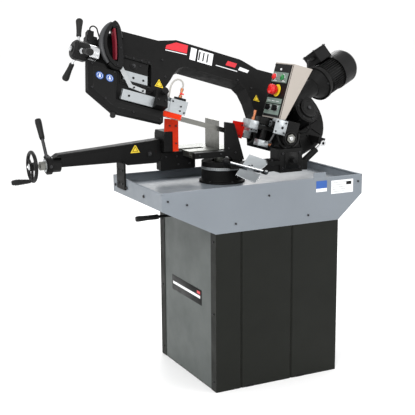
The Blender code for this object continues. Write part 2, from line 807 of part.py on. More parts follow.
def bow_casting():
    outline = casting_outline()
    casting = plate("bow_casting", outline, CASTING_BACK, CASTING_FRONT, WHEELS, CAST_BLACK, "XY")
    near_lug = rod(
        "near_lug", (0, NEAR_LUG_Y[0], 0), (0, NEAR_LUG_Y[1], 0), LUG_RADIUS, BOW, None, sides=32
    )
    far_lug = rod("far_lug", (0, FAR_LUG_Y[0], 0), (0, FAR_LUG_Y[1], 0), LUG_RADIUS, BOW, None, sides=32)
    cheek = block(
        "lug_cheek", (-0.030, NEAR_LUG_Y[0] + 0.0001, 0), (0.030, NEAR_LUG_Y[1] - 0.0001, 0.069), BOW, None
    )
    bridge = block(
        "lug_bridge", (-0.0302, NEAR_LUG_Y[0] + 0.0002, 0.042), (0.0302, 0.020, 0.0702), BOW, None
    )
    shelf = block("box_shelf", (-0.068, -0.020, 0.0465), (-0.046, 0.020, BOX_Z[0] - GAP), BOW, None)
    reach = CYLINDER_PIN.y + 0.0085
    tail = block(
        "tail_lug",
        (CYLINDER_PIN.x - 0.016, reach, 0.011),
        (CYLINDER_PIN.x + 0.016, 0.010, 0.040),
        BOW,
        None,
    )
    join(casting, near_lug, far_lug, cheek, bridge, shelf, tail)
    bore = rod("pivot_bore", (0, -0.20, 0), (0, -0.036, 0), 0.0125 + GAP, BOW, None)
    pockets = []
    for name, s in (("idle_pocket", IDLE_S), ("drive_pocket", DRIVE_S)):
        pockets.append(
            rod(
                name,
                (s, WHEEL_RADIUS, -0.06),
                (s, WHEEL_RADIUS, WEB_BACK),
                POCKET_RADIUS,
                WHEELS,
                None,
                sides=48,
            ),
        )
    top_run = block("top_channel", (IDLE_S, 0.240, -0.06), (DRIVE_S, 0.282, WEB_BACK - 0.001), WHEELS, None)
    low_run = block(
        "low_channel", (IDLE_S, -0.018, -0.06), (DRIVE_S, 0.018, WEB_BACK - 0.002), WHEELS, None
    )
    window = block("slide_window", (-0.745, 0.070, 0.0), (-0.610, 0.200, 0.06), WHEELS, None)
    screw = rod(
        "tension_bore",
        (-0.90, TENSION_H, TENSION_D),
        (-0.70, TENSION_H, TENSION_D),
        0.006 + GAP,
        WHEELS,
        None,
        sides=16,
    )
    shaft = rod(
        "drive_bore", (DRIVE_S, WHEEL_RADIUS, 0), (DRIVE_S, WHEEL_RADIUS, 0.08), 0.0165, WHEELS, None
    )
    cut(casting, bore, *pockets, top_run, low_run, window, screw, shaft)
    plate(
        "bow_back_cover", outline, CASTING_BACK - 0.004 - GAP, CASTING_BACK - GAP, WHEELS, CAST_BLACK, "XY"
    )


def pivot_shaft():
    start = (0, NEAR_LUG_Y[0] - 0.004, 0)
    shaft = rod("pivot_shaft", start, (0, -0.0365, 0), 0.0125, BOW, STEEL)
    head = rod(
        "pivot_head", (0, NEAR_LUG_Y[0] - 0.010, 0), (0, NEAR_LUG_Y[0] - GAP, 0), 0.020, BOW, None, sides=6
    )
    join(shaft, head)


def blade():
    """The band as one closed loop of sections, standing upright between its two guides."""
    upright = Vector((0, sin(WHEEL_LEAN), cos(WHEEL_LEAN)))
    across = Vector((0, 0, 1))
    radius = WHEEL_RADIUS + GAP + BLADE_THICK / 2
    sections = []
    for count in range(25):
        angle = radians(-90 + 180 * count / 24)
        centre = Vector((DRIVE_S + radius * cos(angle), WHEEL_RADIUS + radius * sin(angle), 0))
        sections.append((centre, Vector((cos(angle), sin(angle), 0)), across))
    for count in range(25):
        angle = radians(90 + 180 * count / 24)
        centre = Vector((IDLE_S + radius * cos(angle), WHEEL_RADIUS + radius * sin(angle), 0))
        sections.append((centre, Vector((cos(angle), sin(angle), 0)), across))
    run = WHEEL_RADIUS - radius
    turn = across.angle(upright)
    twists = [n / 8 for n in range(9)]
    starts = [(IDLE_S + TWIST_START + TWIST_LENGTH * n, n) for n in twists]
    ends = [(DRIVE_S - TWIST_START - TWIST_LENGTH * n, n) for n in reversed(twists)]
    for s, part in starts + ends:
        lean = Matrix.Rotation(-turn * part, 3, "X")
        drop = run * (1 - part)
        sections.append((Vector((s, drop, 0)), lean @ Vector((0, -1, 0)), lean @ across))
    shape = bmesh.new()
    rings = []
    for centre, out, wide in sections:
        corners = [
            centre + out * side * BLADE_THICK / 2 + wide * edge * BLADE_WIDTH / 2
            for side, edge in ((-1, -1), (1, -1), (1, 1), (-1, 1))
        ]
        rings.append([shape.verts.new(corner) for corner in corners])
    for ring, following in zip(rings, rings[1:] + rings[:1]):
        for corner in range(4):
            after = (corner + 1) % 4
            shape.faces.new((ring[corner], ring[after], following[after], following[corner]))
    add("blade", to_mesh("blade", shape), WHEELS, STEEL)


def head_guard():
    outline = [
        (-0.903, 0.118),
        (-0.897, -0.016),
        (-0.788, -0.082),
        (-0.565, -0.076),
        (-0.565, -0.026),
        (-0.776, -0.026),
        (-0.776, 0.100),
        (-0.815, 0.100),
        (-0.830, 0.118),
    ]
    front = CASTING_FRONT + GAP
    plate("head_guard", outline, front, front + 0.024, WHEELS, CAST_BLACK, "XY")


def guides():
    arm_low, arm_high = Vector((-0.752, -0.058, -0.020)), Vector((-0.5405, -0.040, 0.022))
    block("guide_arm", arm_low, arm_high, BOW, ALUMINIUM, bevel=0.001)
    clamp = block(
        "guide_clamp",
        (-0.612, -0.020, CASTING_FRONT + GAP),
        (-0.5605, 0.058, 0.094),
        WHEELS,
        CAST_BLACK,
        bevel=0.002,
    )
    room = Vector((0.1, GAP, GAP))
    cut(clamp, block("arm_room", arm_low - room, arm_high + room, BOW, None))

    head = block("left_guide_head", (-0.556, -0.0395, -0.020), (-0.462, 0.020, 0.037), BOW, ALUMINIUM)
    cheek = block("guide_cheek", (-0.540, -0.058, -0.0198), (-0.4622, -0.030, 0.0368), BOW, None)
    fork = block("left_fork", (-0.505, -0.012, -0.042), (-0.470, 0.012, -0.010), BOW, None)
    slot = block("left_fork_slot", (-0.60, -0.0012, -0.060), (-0.40, 0.0012, -0.0225), BOW, None)
    cut(join(head, cheek, fork), slot)
    cover = block("left_blade_cover", (-0.5595, -0.0575, -0.042), (-0.476, -0.0400, -0.0203), BOW, ORANGE)
    cut(cover, block("cover_room", (-0.60, -0.0545, -0.05), (-0.40, -0.02, -0.0233), BOW, None))

    body = block("right_guide_head", (-0.150, -0.055, -0.012), (-0.110, 0.020, 0.038), BOW, ALUMINIUM)
    wing = block("guide_wing", (-0.112, -0.0548, 0.012), (-0.040, -0.046, 0.054), BOW, None)
    foot = block("guide_foot", (-0.104, 0.022, CASTING_FRONT + GAP), (-0.070, 0.046, 0.078), WHEELS, None)
    fork = block("right_fork", (-0.146, -0.012, -0.042), (-0.114, 0.012, -0.005), BOW, None)
    slot = block("right_fork_slot", (-0.20, -0.0012, -0.060), (-0.05, 0.0012, -0.0225), BOW, None)
    cut(join(body, wing, foot, fork), slot)
    guard = [(-0.212, 0.014), (-0.1505, 0.019), (-0.1505, -0.052), (-0.196, -0.050), (-0.205, -0.046)]
    plate("right_guard", guard, -0.0095, -0.0060, BOW, RED)


def motor_direction():
    return Vector((cos(MOTOR_ANGLE), sin(MOTOR_ANGLE), 0))


def gearbox():
    """Worm gearbox: a round case over the drive wheel's shaft, with the worm's housing across it."""
    ahead = motor_direction()
    front = CASTING_FRONT + GAP
    case = rod(
        "gearbox",
        (DRIVE_S, WHEEL_RADIUS, front),
        (DRIVE_S, WHEEL_RADIUS, 0.132),
        0.062,
        WHEELS,
        CAST_BLACK,
        sides=32,
    )
    foot = rod(
        "gear_foot",
        (DRIVE_S, WHEEL_RADIUS, front),
        (DRIVE_S, WHEEL_RADIUS, 0.054),
        0.078,
        WHEELS,
        None,
        sides=32,
    )
    boss = rod(
        "gear_boss",
        (DRIVE_S, WHEEL_RADIUS, 0.12),
        (DRIVE_S, WHEEL_RADIUS, 0.144),
        0.040,
        WHEELS,
        None,
        sides=24,
    )
    socket = rod(
        "gear_socket", (DRIVE_S, WHEEL_RADIUS, 0.0), (DRIVE_S, WHEEL_RADIUS, 0.092), 0.0155, WHEELS, None
    )
    housing = rod(
        "worm_housing",
        MOTOR_START - ahead * 0.268,
        MOTOR_START - ahead * 0.036,
        0.040,
        WHEELS,
        None,
        sides=32,
    )
    flange = rod(
        "motor_flange",
        MOTOR_START - ahead * 0.045,
        MOTOR_START - ahead * 0.0303,
        COWL_RADIUS,
        WHEELS,
        None,
        sides=40,
    )
    cone = rod(
        "flange_cone",
        MOTOR_START - ahead * 0.085,
        MOTOR_START - ahead * 0.044,
        0.042,
        WHEELS,
        None,
        sides=32,
        end_radius=0.070,
    )
    worm_bore = rod(
        "worm_bore", MOTOR_START - ahead * 0.09, MOTOR_START + ahead * 0.01, 0.011, WHEELS, None
    )
    cut(join(case, foot, boss, housing, cone, flange), socket, worm_bore)


def motor():
    ahead = motor_direction()
    start = MOTOR_START - ahead * 0.030
    end = start + ahead * MOTOR_LENGTH
    r = MOTOR_RADIUS
    body = rod("motor_body", start, end, r, WHEELS, CAST_BLACK, sides=40)
    bore = rod("motor_bore", start - ahead * 0.01, end + ahead * 0.01, 0.0105, WHEELS, None)
    cut(body, bore)
    profile = [
        (COWL_RADIUS - 0.002, COWL_LENGTH - 0.021),
        (0.067, COWL_LENGTH - 0.0065),
        (0.012, COWL_LENGTH - 0.0022),
    ]
    profile += [(0.012, COWL_LENGTH), (0.060, COWL_LENGTH), (0.070, COWL_LENGTH - 0.005)]
    profile += [
        (COWL_RADIUS, COWL_LENGTH - 0.020), (COWL_RADIUS, -0.020), (r + GAP, -0.020), (r + GAP, -0.008)
    ]
    profile += [(COWL_RADIUS - 0.002, -0.002)]
    turned("fan_cowl", profile, end, ahead, WHEELS, PLASTIC_BLACK, 40)
    fan = [(0, 0.050), (0.016, 0.050), (0.020, 0.040), (0.062, 0.036), (0.062, 0.032), (0.018, 0.020)]
    fan += [(0.0100, 0.010), (0.0100, -MOTOR_LENGTH - 0.050), (0, -MOTOR_LENGTH - 0.050)]
    turned("motor_fan", fan, end, ahead, WHEELS, PLASTIC_BLACK, 24)
    side = Vector((-sin(MOTOR_ANGLE), cos(MOTOR_ANGLE), 0))
    shape = bmesh.new()
    bmesh.ops.create_cube(shape, size=1.0)
    bmesh.ops.scale(shape, vec=(0.086, 0.058, 0.080), verts=shape.verts)
    bmesh.ops.rotate(shape, matrix=Matrix.Rotation(MOTOR_ANGLE, 3, "Z"), verts=shape.verts)
    centre = MOTOR_START + ahead * 0.062 + side * 0.097
    box = add("terminal_box", to_mesh("terminal_box", shape), WHEELS, PLASTIC_BLACK, centre)
    round_edges(box, 0.004)
    clearance = rod("box_clearance", start, end, r + GAP, WHEELS, None, sides=40)
    cowl_room = rod(
        "cowl_room", end - ahead * 0.021, end + ahead * 0.1, COWL_RADIUS + GAP, WHEELS, None, sides=40
    )
    cut(box, clearance, cowl_room)


def control_box():
    outline = [
        (PANEL_X, BOX_Z[0]), (-0.043, BOX_Z[0] + 0.004), (0.026, BOX_Z[1] + 0.002), (PANEL_X, BOX_Z[1])
    ]
    box = plate("control_box", outline, *BOX_Y, BOW, BEIGE, bevel=0.002)
    inset = 0.006
    low = (PANEL_X - 0.003, BOX_Y[0] + inset, BOX_Z[0] + inset)
    high = (PANEL_X - GAP, BOX_Y[1] - inset, BOX_Z[1] - inset)
    panel = block("control_panel", low, high, BOW, PLASTIC_BLACK)
    controls = (
        ("stop_button", -0.026, 0.240, 0.0095, 0.010, BUTTON_RED),
        ("start_button", -0.094, 0.240, 0.0095, 0.008, GREEN),
        ("emergency_stop", -0.068, 0.183, 0.0070, 0.034, BUTTON_RED),
        ("selector_left", -0.042, 0.108, 0.0095, 0.018, PLASTIC_BLACK),
        ("selector_right", -0.100, 0.108, 0.0095, 0.018, PLASTIC_BLACK),
    )
    for name, y, z, radius, reach, material in controls:
        hole = rod(
            f"{name}_hole",
            (PANEL_X - 0.02, y, z),
            (PANEL_X + 0.012, y, z),
            radius + GAP,
            BOW,
            None,
            sides=20,
        )
        cut(panel, hole)
        cut(box, hole)
        face = PANEL_X - 0.003
        axis = Vector((face, y, z))
        piece = rod(
            name,
            (PANEL_X + 0.005, y, z),
            (face - reach, y, z),
            radius,
            BOW,
            material,
            origin=axis,
            sides=20,
        )
        if name == "emergency_stop":
            head = rod(
                "stop_head",
                (face - 0.012, y, z),
                (face - reach - 0.002, y, z),
                0.0205,
                BOW,
                None,
                origin=axis,
                sides=28,
            )
            join(piece, head)
        if name.startswith("selector"):
            handle = block(
                f"{name}_handle",
                (face - 0.024, y - 0.0035, z - 0.0125),
                (face - 0.004, y + 0.0035, z + 0.0125),
                BOW,
                None,
                origin=axis,
            )
            join(piece, handle)


def handle():
    """A D-shaped pistol grip standing in front of the casting, with a long trigger on its inner side."""
    outline = [(-0.797, 0.320), (-0.816, 0.300), (-0.833, 0.265), (-0.842, 0.228), (-0.840, 0.190)]
    outline += [
        (-0.828, 0.152), (-0.810, 0.126), (-0.790, 0.110), (-0.766, 0.110), (-0.757, 0.130), (-0.755, 0.160)
    ]
    outline += [(-0.761, 0.220), (-0.771, 0.280), (-0.784, 0.315)]
    front = CASTING_FRONT + GAP
    low, high = front + 0.0063, 0.080
    grip = plate("handle_grip", outline, low, high, WHEELS, PLASTIC_BLACK, "XY")
    standoff = rod(
        "grip_standoff", (-0.7785, 0.278, front), (-0.7785, 0.278, 0.052), 0.0055, WHEELS, None, sides=16
    )
    gap = [
        (-0.805, 0.292), (-0.819, 0.262), (-0.829, 0.228), (-0.828, 0.194), (-0.817, 0.160), (-0.801, 0.138)
    ]
    gap += [(-0.793, 0.140), (-0.790, 0.160), (-0.794, 0.220), (-0.801, 0.280)]
    hole = plate("finger_gap", gap, low - 0.02, high + 0.02, WHEELS, None, "XY")
    recess = [(-0.8050, 0.283), (-0.7880, 0.288), (-0.7800, 0.220), (-0.7770, 0.160), (-0.7800, 0.133)]
    recess += [(-0.7990, 0.138), (-0.7990, 0.160), (-0.8030, 0.220)]
    slot = plate("trigger_slot", recess, 0.056, high + 0.01, WHEELS, None, "XY")
    cut(join(grip, standoff), hole, slot)
    inner = [(-0.8040, 0.2800), (-0.7955, 0.2815), (-0.7875, 0.220), (-0.7850, 0.160), (-0.7855, 0.1400)]
    inner += [(-0.7925, 0.1400), (-0.7925, 0.160), (-0.7955, 0.220)]
    plate("trigger", inner, 0.0575, high + 0.004, WHEELS, BUTTON_RED, "XY", origin=(-0.7890, 0.1420, 0.070))
    strip = [(-0.776, 0.118), (-0.772, 0.140), (-0.742, 0.143), (-0.698, 0.070), (-0.637, 0.062)]
    strip += [(-0.638, 0.044), (-0.712, 0.053), (-0.752, 0.118)]
    plate("handle_bracket", strip, front, front + 0.006, WHEELS, STEEL, "XY")


def tension():
    middle = (IDLE_S, WHEEL_RADIUS, 0)
    slide = block(
        "tension_slide", (-0.7380, 0.0853, 0.0235), (-0.6250, 0.1947, 0.0385), WHEELS, CAST_IRON, middle
    )
    axle = rod(
        "idle_axle", (IDLE_S, WHEEL_RADIUS, -0.016), (IDLE_S, WHEEL_RADIUS, 0.03), 0.009, WHEELS, None
    )
    join(slide, axle)
    outer = -0.961
    origin = (-0.930, TENSION_H, TENSION_D)
    hub = rod(
        "tension_knob",
        (outer, *origin[1:]),
        (-0.893, *origin[1:]),
        0.040,
        WHEELS,
        PLASTIC_BLACK,
        origin=origin,
        sides=32,
    )
    collar = rod(
        "knob_collar",
        (-0.894, *origin[1:]),
        (-0.8526, *origin[1:]),
        0.037,
        WHEELS,
        None,
        origin=origin,
        sides=32,
    )
    screw = rod(
        "tension_screw",
        (-0.86, *origin[1:]),
        (-0.7384, *origin[1:]),
        0.006,
        WHEELS,
        None,
        origin=origin,
        sides=16,
    )
    pieces = [collar, screw]
    for number, degrees in enumerate(SPOKE_ANGLES):
        angle = radians(degrees)
        out = Vector((0, cos(angle), sin(angle)))
        centre = Vector(origin)
        pieces.append(
            rod(
                f"knob_stem_{number}",
                centre + out * 0.030,
                centre + out * 0.08,
                0.005,
                WHEELS,
                None,
                origin=origin,
                sides=12,
            ),
        )
        pieces.append(
            rod(
                f"knob_grip_{number}",
                centre + out * 0.064,
                centre + out * SPOKE_REACH,
                0.010,
                WHEELS,
                None,
                origin=origin,
                sides=16,
                end_radius=0.0145,
            )
        )
    join(round_edges(hub, 0.006), *pieces)
    base = block("tension_switch", (-0.8980, 0.2135, 0.004), (-0.8524, 0.246, 0.036), WHEELS, PLASTIC_BLACK)
    top = block("switch_top", (-0.893, 0.240, 0.008), (-0.866, 0.272, 0.032), WHEELS, None)
    join(base, top)


def wheels():
    w = WHEEL_HALF_WIDTH
    r = WHEEL_RADIUS
    profile = [
        (0.0095, w + 0.003), (0.026, w + 0.003), (0.028, 0.004), (r - 0.014, 0.004), (r - 0.012, w), (r, w)
    ]
    profile += [
        (r, -w),
        (r - 0.012, -w),
        (r - 0.014, -0.004),
        (0.028, -0.004),
        (0.026, -w - 0.002),
        (0.0095, -w - 0.002),
    ]
    turned("idle_wheel", profile, (IDLE_S, r, 0), (0, 0, 1), WHEELS, CAST_IRON, 48)
    solid = [
        (0, 0.090),
        (0.0150, 0.090),
        (0.0150, w + 0.004),
        (0.028, w + 0.003),
        (0.030, 0.004),
        (r - 0.014, 0.004),
    ]
    solid += [(r - 0.012, w), (r, w), (r, -w), (r - 0.012, -w), (r - 0.014, -0.004), (0.030, -0.004)]
    solid += [(0.028, -w - 0.003), (0, -w - 0.003)]
    turned("drive_wheel", solid, (DRIVE_S, r, 0), (0, 0, 1), WHEELS, CAST_IRON, 48)


def feed_cylinder():
    pin = PIVOT + Matrix.Rotation(PITCH, 3, "Y") @ CYLINDER_PIN
    foot = CYLINDER_FOOT.copy()
    pin.y = foot.y
    along = (pin - foot).normalized()
    side = Vector((0, 1, 0))
    barrel = rod(
        "feed_cylinder_barrel",
        foot + along * 0.010,
        foot + along * BARREL_LENGTH,
        BARREL_RADIUS,
        SAW,
        CAST_BLACK,
        origin=foot,
    )
    eye = rod("barrel_eye", foot - side * 0.0141, foot + side * 0.009, 0.011, SAW, None, origin=foot)
    bore = rod(
        "barrel_bore",
        foot + along * 0.0165,
        foot + along * 0.2,
        ROD_RADIUS + GAP,
        SAW,
        None,
        origin=foot,
        sides=16,
    )
    cut(join(barrel, eye), bore)
    piston = rod(
        "feed_cylinder_rod",
        pin - along * 0.098,
        pin - along * 0.009,
        ROD_RADIUS,
        SAW,
        BRIGHT_STEEL,
        origin=pin,
        sides=16,
    )
    rod_eye = rod("rod_eye", pin - side * 0.008, pin + side * 0.008, 0.013, SAW, None, origin=pin)
    hole = rod("rod_hole", pin - side * 0.02, pin + side * 0.02, 0.0065, SAW, None, origin=pin, sides=16)
    cut(join(piston, rod_eye), hole)


cabinet()
chip_tray()
coolant()
drum()
bed()
vise_base()
movable_jaw()
vise_screw()
lock_lever()
bed_lock_lever()
swivel_arm()
chip_deflector()
swivel_lock_lever()
bow_casting()
pivot_shaft()
blade()
head_guard()
guides()
gearbox()
motor()
control_box()
handle()
tension()
wheels()
feed_cylinder()
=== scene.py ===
"""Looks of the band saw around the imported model: materials, soft edges, fittings, hoses and labels."""

import json
from math import cos, pi, radians, sin

import bmesh
import bpy
from mathutils import Matrix, Vector

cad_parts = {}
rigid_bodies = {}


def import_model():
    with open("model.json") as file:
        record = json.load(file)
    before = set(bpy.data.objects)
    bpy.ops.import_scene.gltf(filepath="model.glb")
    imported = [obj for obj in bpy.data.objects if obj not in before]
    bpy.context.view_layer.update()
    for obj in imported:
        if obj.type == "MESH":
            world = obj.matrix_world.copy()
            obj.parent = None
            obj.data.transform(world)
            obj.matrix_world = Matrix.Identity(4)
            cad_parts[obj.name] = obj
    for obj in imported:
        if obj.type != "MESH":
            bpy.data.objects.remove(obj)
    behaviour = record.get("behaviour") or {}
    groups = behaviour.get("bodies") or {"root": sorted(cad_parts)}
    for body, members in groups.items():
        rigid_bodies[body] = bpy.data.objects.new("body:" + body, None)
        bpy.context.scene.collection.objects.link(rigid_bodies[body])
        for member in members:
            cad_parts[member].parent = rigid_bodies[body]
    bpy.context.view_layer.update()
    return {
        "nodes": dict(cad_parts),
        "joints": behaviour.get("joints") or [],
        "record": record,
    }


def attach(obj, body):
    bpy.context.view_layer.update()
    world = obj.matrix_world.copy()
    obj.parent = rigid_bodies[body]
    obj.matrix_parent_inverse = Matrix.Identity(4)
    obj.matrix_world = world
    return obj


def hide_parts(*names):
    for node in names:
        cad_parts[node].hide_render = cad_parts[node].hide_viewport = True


for item in list(bpy.data.objects):
    bpy.data.objects.remove(item, do_unlink=True)

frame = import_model()
NODES = frame["nodes"]
JOINTS = {joint["name"]: joint for joint in frame["joints"]}

# ---------------------------------------------------------------- frames of the machine

BLADE_DROP = 0.035
WORLD = Matrix.Identity(4)
DRIVE_CENTRE = (0.108, 0.130)
VISE_SCREW = (0.143, 0.926)


def axes(origin, x, y, z):
    """A frame with these axes."""
    turn = Matrix((x, y, z)).transposed().to_4x4()
    return Matrix.Translation(origin) @ turn


ALONG = Vector(JOINTS["guide_arm_slide"]["axis"])
ACROSS = Vector((0, 1, 0))
LIFT = ALONG.cross(ACROSS)
PIVOT = Vector(JOINTS["bow_pivot"]["pos_m"])
BOW = axes(PIVOT, ALONG, ACROSS, LIFT)
NORMAL = Vector(JOINTS["drive_wheel_spin"]["axis"])
RISE = NORMAL.cross(ALONG)
WHEELS = axes(PIVOT - LIFT * BLADE_DROP, ALONG, RISE, NORMAL)
MOTOR_AXIS = Vector(JOINTS["motor_spin"]["axis"])
MOTOR_PLACE = Vector(JOINTS["motor_spin"]["pos_m"])
MOTOR_END = 0.100
MOTOR = axes(MOTOR_PLACE + MOTOR_AXIS * MOTOR_END, MOTOR_AXIS, NORMAL.cross(MOTOR_AXIS), NORMAL)


# ---------------------------------------------------------------- camera, light and floor

CAMERA_PLACE = Vector((-2.0175, -3.6267, 1.5693))
CAMERA_AZIMUTH = radians(-26.75)
CAMERA_ELEVATION = radians(11.875)
CAMERA_ROLL = radians(-0.377)
CAMERA_LENS = 85.3


def make_camera():
    camera = bpy.data.objects.new("camera", bpy.data.cameras.new("camera"))
    bpy.context.scene.collection.objects.link(camera)
    a, e = CAMERA_AZIMUTH, CAMERA_ELEVATION
    forward = Vector((-sin(a) * cos(e), cos(a) * cos(e), -sin(e)))
    right = Vector((cos(a), sin(a), 0))
    up = right.cross(forward)
    tilted_right = right * cos(CAMERA_ROLL) + up * sin(CAMERA_ROLL)
    tilted_up = up * cos(CAMERA_ROLL) - right * sin(CAMERA_ROLL)
    camera.matrix_world = axes(CAMERA_PLACE, tilted_right, tilted_up, -forward)
    camera.data.lens = CAMERA_LENS
    camera.data.clip_end = 60
    bpy.context.scene.camera = camera


def make_light(name, place, target, size, watts):
    light = bpy.data.lights.new(name, "AREA")
    light.shape = "DISK"
    light.size = size
    light.energy = watts
    lamp = bpy.data.objects.new(name, light)
    lamp.location = place
    lamp.rotation_euler = (Vector(target) - Vector(place)).to_track_quat("-Z", "Y").to_euler()
    bpy.context.scene.collection.objects.link(lamp)


def make_stage():
    world = bpy.data.worlds.new("studio")
    bpy.context.scene.world = world
    world.use_nodes = True
    sky = world.node_tree.nodes["Background"]
    sky.inputs["Color"].default_value = (1.0, 1.0, 1.0, 1.0)
    sky.inputs["Strength"].default_value = 1.08
    bpy.context.scene.view_settings.view_transform = "Standard"
    middle = (0, 0, 0.9)
    make_light("key", (-2.8, -2.6, 3.6), middle, 1.8, 130)
    make_light("fill", (3.2, -3.4, 2.4), middle, 2.6, 60)
    make_light("rim", (1.6, 3.4, 3.2), middle, 2.2, 80)
    shape = bmesh.new()
    bmesh.ops.create_grid(shape, x_segments=1, y_segments=1, size=30)
    mesh = bpy.data.meshes.new("floor")
    shape.to_mesh(mesh)
    shape.free()
    floor = bpy.data.objects.new("floor", mesh)
    floor.location = (0, 0, -0.0005)
    bpy.context.scene.collection.objects.link(floor)
    pale = bpy.data.materials.new("floor_pale")
    pale.use_nodes = True
    shader = pale.node_tree.nodes["Principled BSDF"]
    shader.inputs["Base Color"].default_value = (0.93, 0.93, 0.93, 1.0)
    shader.inputs["Roughness"].default_value = 0.75
    mesh.materials.append(pale)


make_camera()
make_stage()


# ---------------------------------------------------------------- materials


def look(name, colour, roughness, metallic=0.0, grain=700.0, depth=0.3, stretch=(1, 1, 1), vary=0.10,
         blotch=5.0, rough_vary=0.10, edge=None, edge_width=0.0015, edge_share=0.6, coat=0.0,
         cells=False, shine=0.5):
    """A finish with fine grain, uneven colour and gloss, and, with an edge colour, lighter edges: partly
    chipped wear, partly a painted highlight on rounded edges.
    """
    material = bpy.data.materials.new(name)
    material.use_nodes = True
    tree = material.node_tree
    shader = tree.nodes["Principled BSDF"]
    shader.inputs["Metallic"].default_value = metallic
    shader.inputs["Coat Weight"].default_value = coat
    shader.inputs["Specular IOR Level"].default_value = shine
    shader.inputs["Coat Roughness"].default_value = 0.25
    place = tree.nodes.new("ShaderNodeTexCoord")
    mapping = tree.nodes.new("ShaderNodeMapping")
    mapping.inputs["Scale"].default_value = stretch
    tree.links.new(place.outputs["Object"], mapping.inputs["Vector"])

    broad = tree.nodes.new("ShaderNodeTexNoise")
    broad.inputs["Scale"].default_value = blotch
    broad.inputs["Detail"].default_value = 5.0
    tree.links.new(mapping.outputs["Vector"], broad.inputs["Vector"])
    tint = tree.nodes.new("ShaderNodeMapRange")
    tint.inputs["From Min"].default_value = 0.3
    tint.inputs["From Max"].default_value = 0.7
    tint.inputs["To Min"].default_value = 1.0 - vary
    tint.inputs["To Max"].default_value = 1.0 + vary
    tree.links.new(broad.outputs["Fac"], tint.inputs["Value"])
    shade = tree.nodes.new("ShaderNodeVectorMath")
    shade.operation = "SCALE"
    shade.inputs[0].default_value = colour
    tree.links.new(tint.outputs["Result"], shade.inputs["Scale"])
    surface = shade.outputs["Vector"]

    if cells:
        fine = tree.nodes.new("ShaderNodeTexVoronoi")
        fine.feature = "SMOOTH_F1"
        height = fine.outputs["Distance"]
    else:
        fine = tree.nodes.new("ShaderNodeTexNoise")
        fine.inputs["Detail"].default_value = 3.0
        height = fine.outputs["Fac"]
    fine.inputs["Scale"].default_value = grain
    tree.links.new(mapping.outputs["Vector"], fine.inputs["Vector"])
    bump = tree.nodes.new("ShaderNodeBump")
    bump.inputs["Strength"].default_value = depth
    bump.inputs["Distance"].default_value = 0.0004
    tree.links.new(height, bump.inputs["Height"])
    tree.links.new(bump.outputs["Normal"], shader.inputs["Normal"])

    gloss = tree.nodes.new("ShaderNodeMapRange")
    gloss.inputs["From Min"].default_value = 0.25
    gloss.inputs["From Max"].default_value = 0.75
    gloss.inputs["To Min"].default_value = max(0.05, roughness - rough_vary)
    gloss.inputs["To Max"].default_value = min(1.0, roughness + rough_vary)
    patches = tree.nodes.new("ShaderNodeTexNoise")
    patches.inputs["Scale"].default_value = blotch * 6
    patches.inputs["Detail"].default_value = 4.0
    tree.links.new(mapping.outputs["Vector"], patches.inputs["Vector"])
    tree.links.new(patches.outputs["Fac"], gloss.inputs["Value"])
    tree.links.new(gloss.outputs["Result"], shader.inputs["Roughness"])

    # Edge colour laid along edges found with the Bevel node and broken up by chip noise: partly wear, partly
    # painted highlight where rounded edges catch the light.
    if edge:
        rounded = tree.nodes.new("ShaderNodeBevel")
        rounded.samples = 4
        rounded.inputs["Radius"].default_value = edge_width
        flat = tree.nodes.new("ShaderNodeNewGeometry")
        turned_away = tree.nodes.new("ShaderNodeVectorMath")
        turned_away.operation = "DOT_PRODUCT"
        tree.links.new(rounded.outputs["Normal"], turned_away.inputs[0])
        tree.links.new(flat.outputs["Normal"], turned_away.inputs[1])
        near_edge = tree.nodes.new("ShaderNodeMapRange")
        near_edge.inputs["From Min"].default_value = 0.99
        near_edge.inputs["From Max"].default_value = 0.86
        tree.links.new(turned_away.outputs["Value"], near_edge.inputs["Value"])
        chips = tree.nodes.new("ShaderNodeTexNoise")
        chips.inputs["Scale"].default_value = 60.0
        chips.inputs["Detail"].default_value = 6.0
        tree.links.new(place.outputs["Object"], chips.inputs["Vector"])
        chipped = tree.nodes.new("ShaderNodeMapRange")
        chipped.inputs["From Min"].default_value = 0.42
        chipped.inputs["From Max"].default_value = 0.62
        chipped.inputs["To Max"].default_value = edge_share
        tree.links.new(chips.outputs["Fac"], chipped.inputs["Value"])
        share = tree.nodes.new("ShaderNodeMath")
        share.operation = "MULTIPLY"
        tree.links.new(near_edge.outputs["Result"], share.inputs[0])
        tree.links.new(chipped.outputs["Result"], share.inputs[1])
        edge_wear_and_highlight = tree.nodes.new("ShaderNodeMix")
        edge_wear_and_highlight.data_type = "RGBA"
        tree.links.new(share.outputs["Value"], edge_wear_and_highlight.inputs["Factor"])
        tree.links.new(surface, edge_wear_and_highlight.inputs["A"])
        edge_wear_and_highlight.inputs["B"].default_value = (*edge, 1.0)
        surface = edge_wear_and_highlight.outputs["Result"]
    tree.links.new(surface, shader.inputs["Base Color"])
    return material
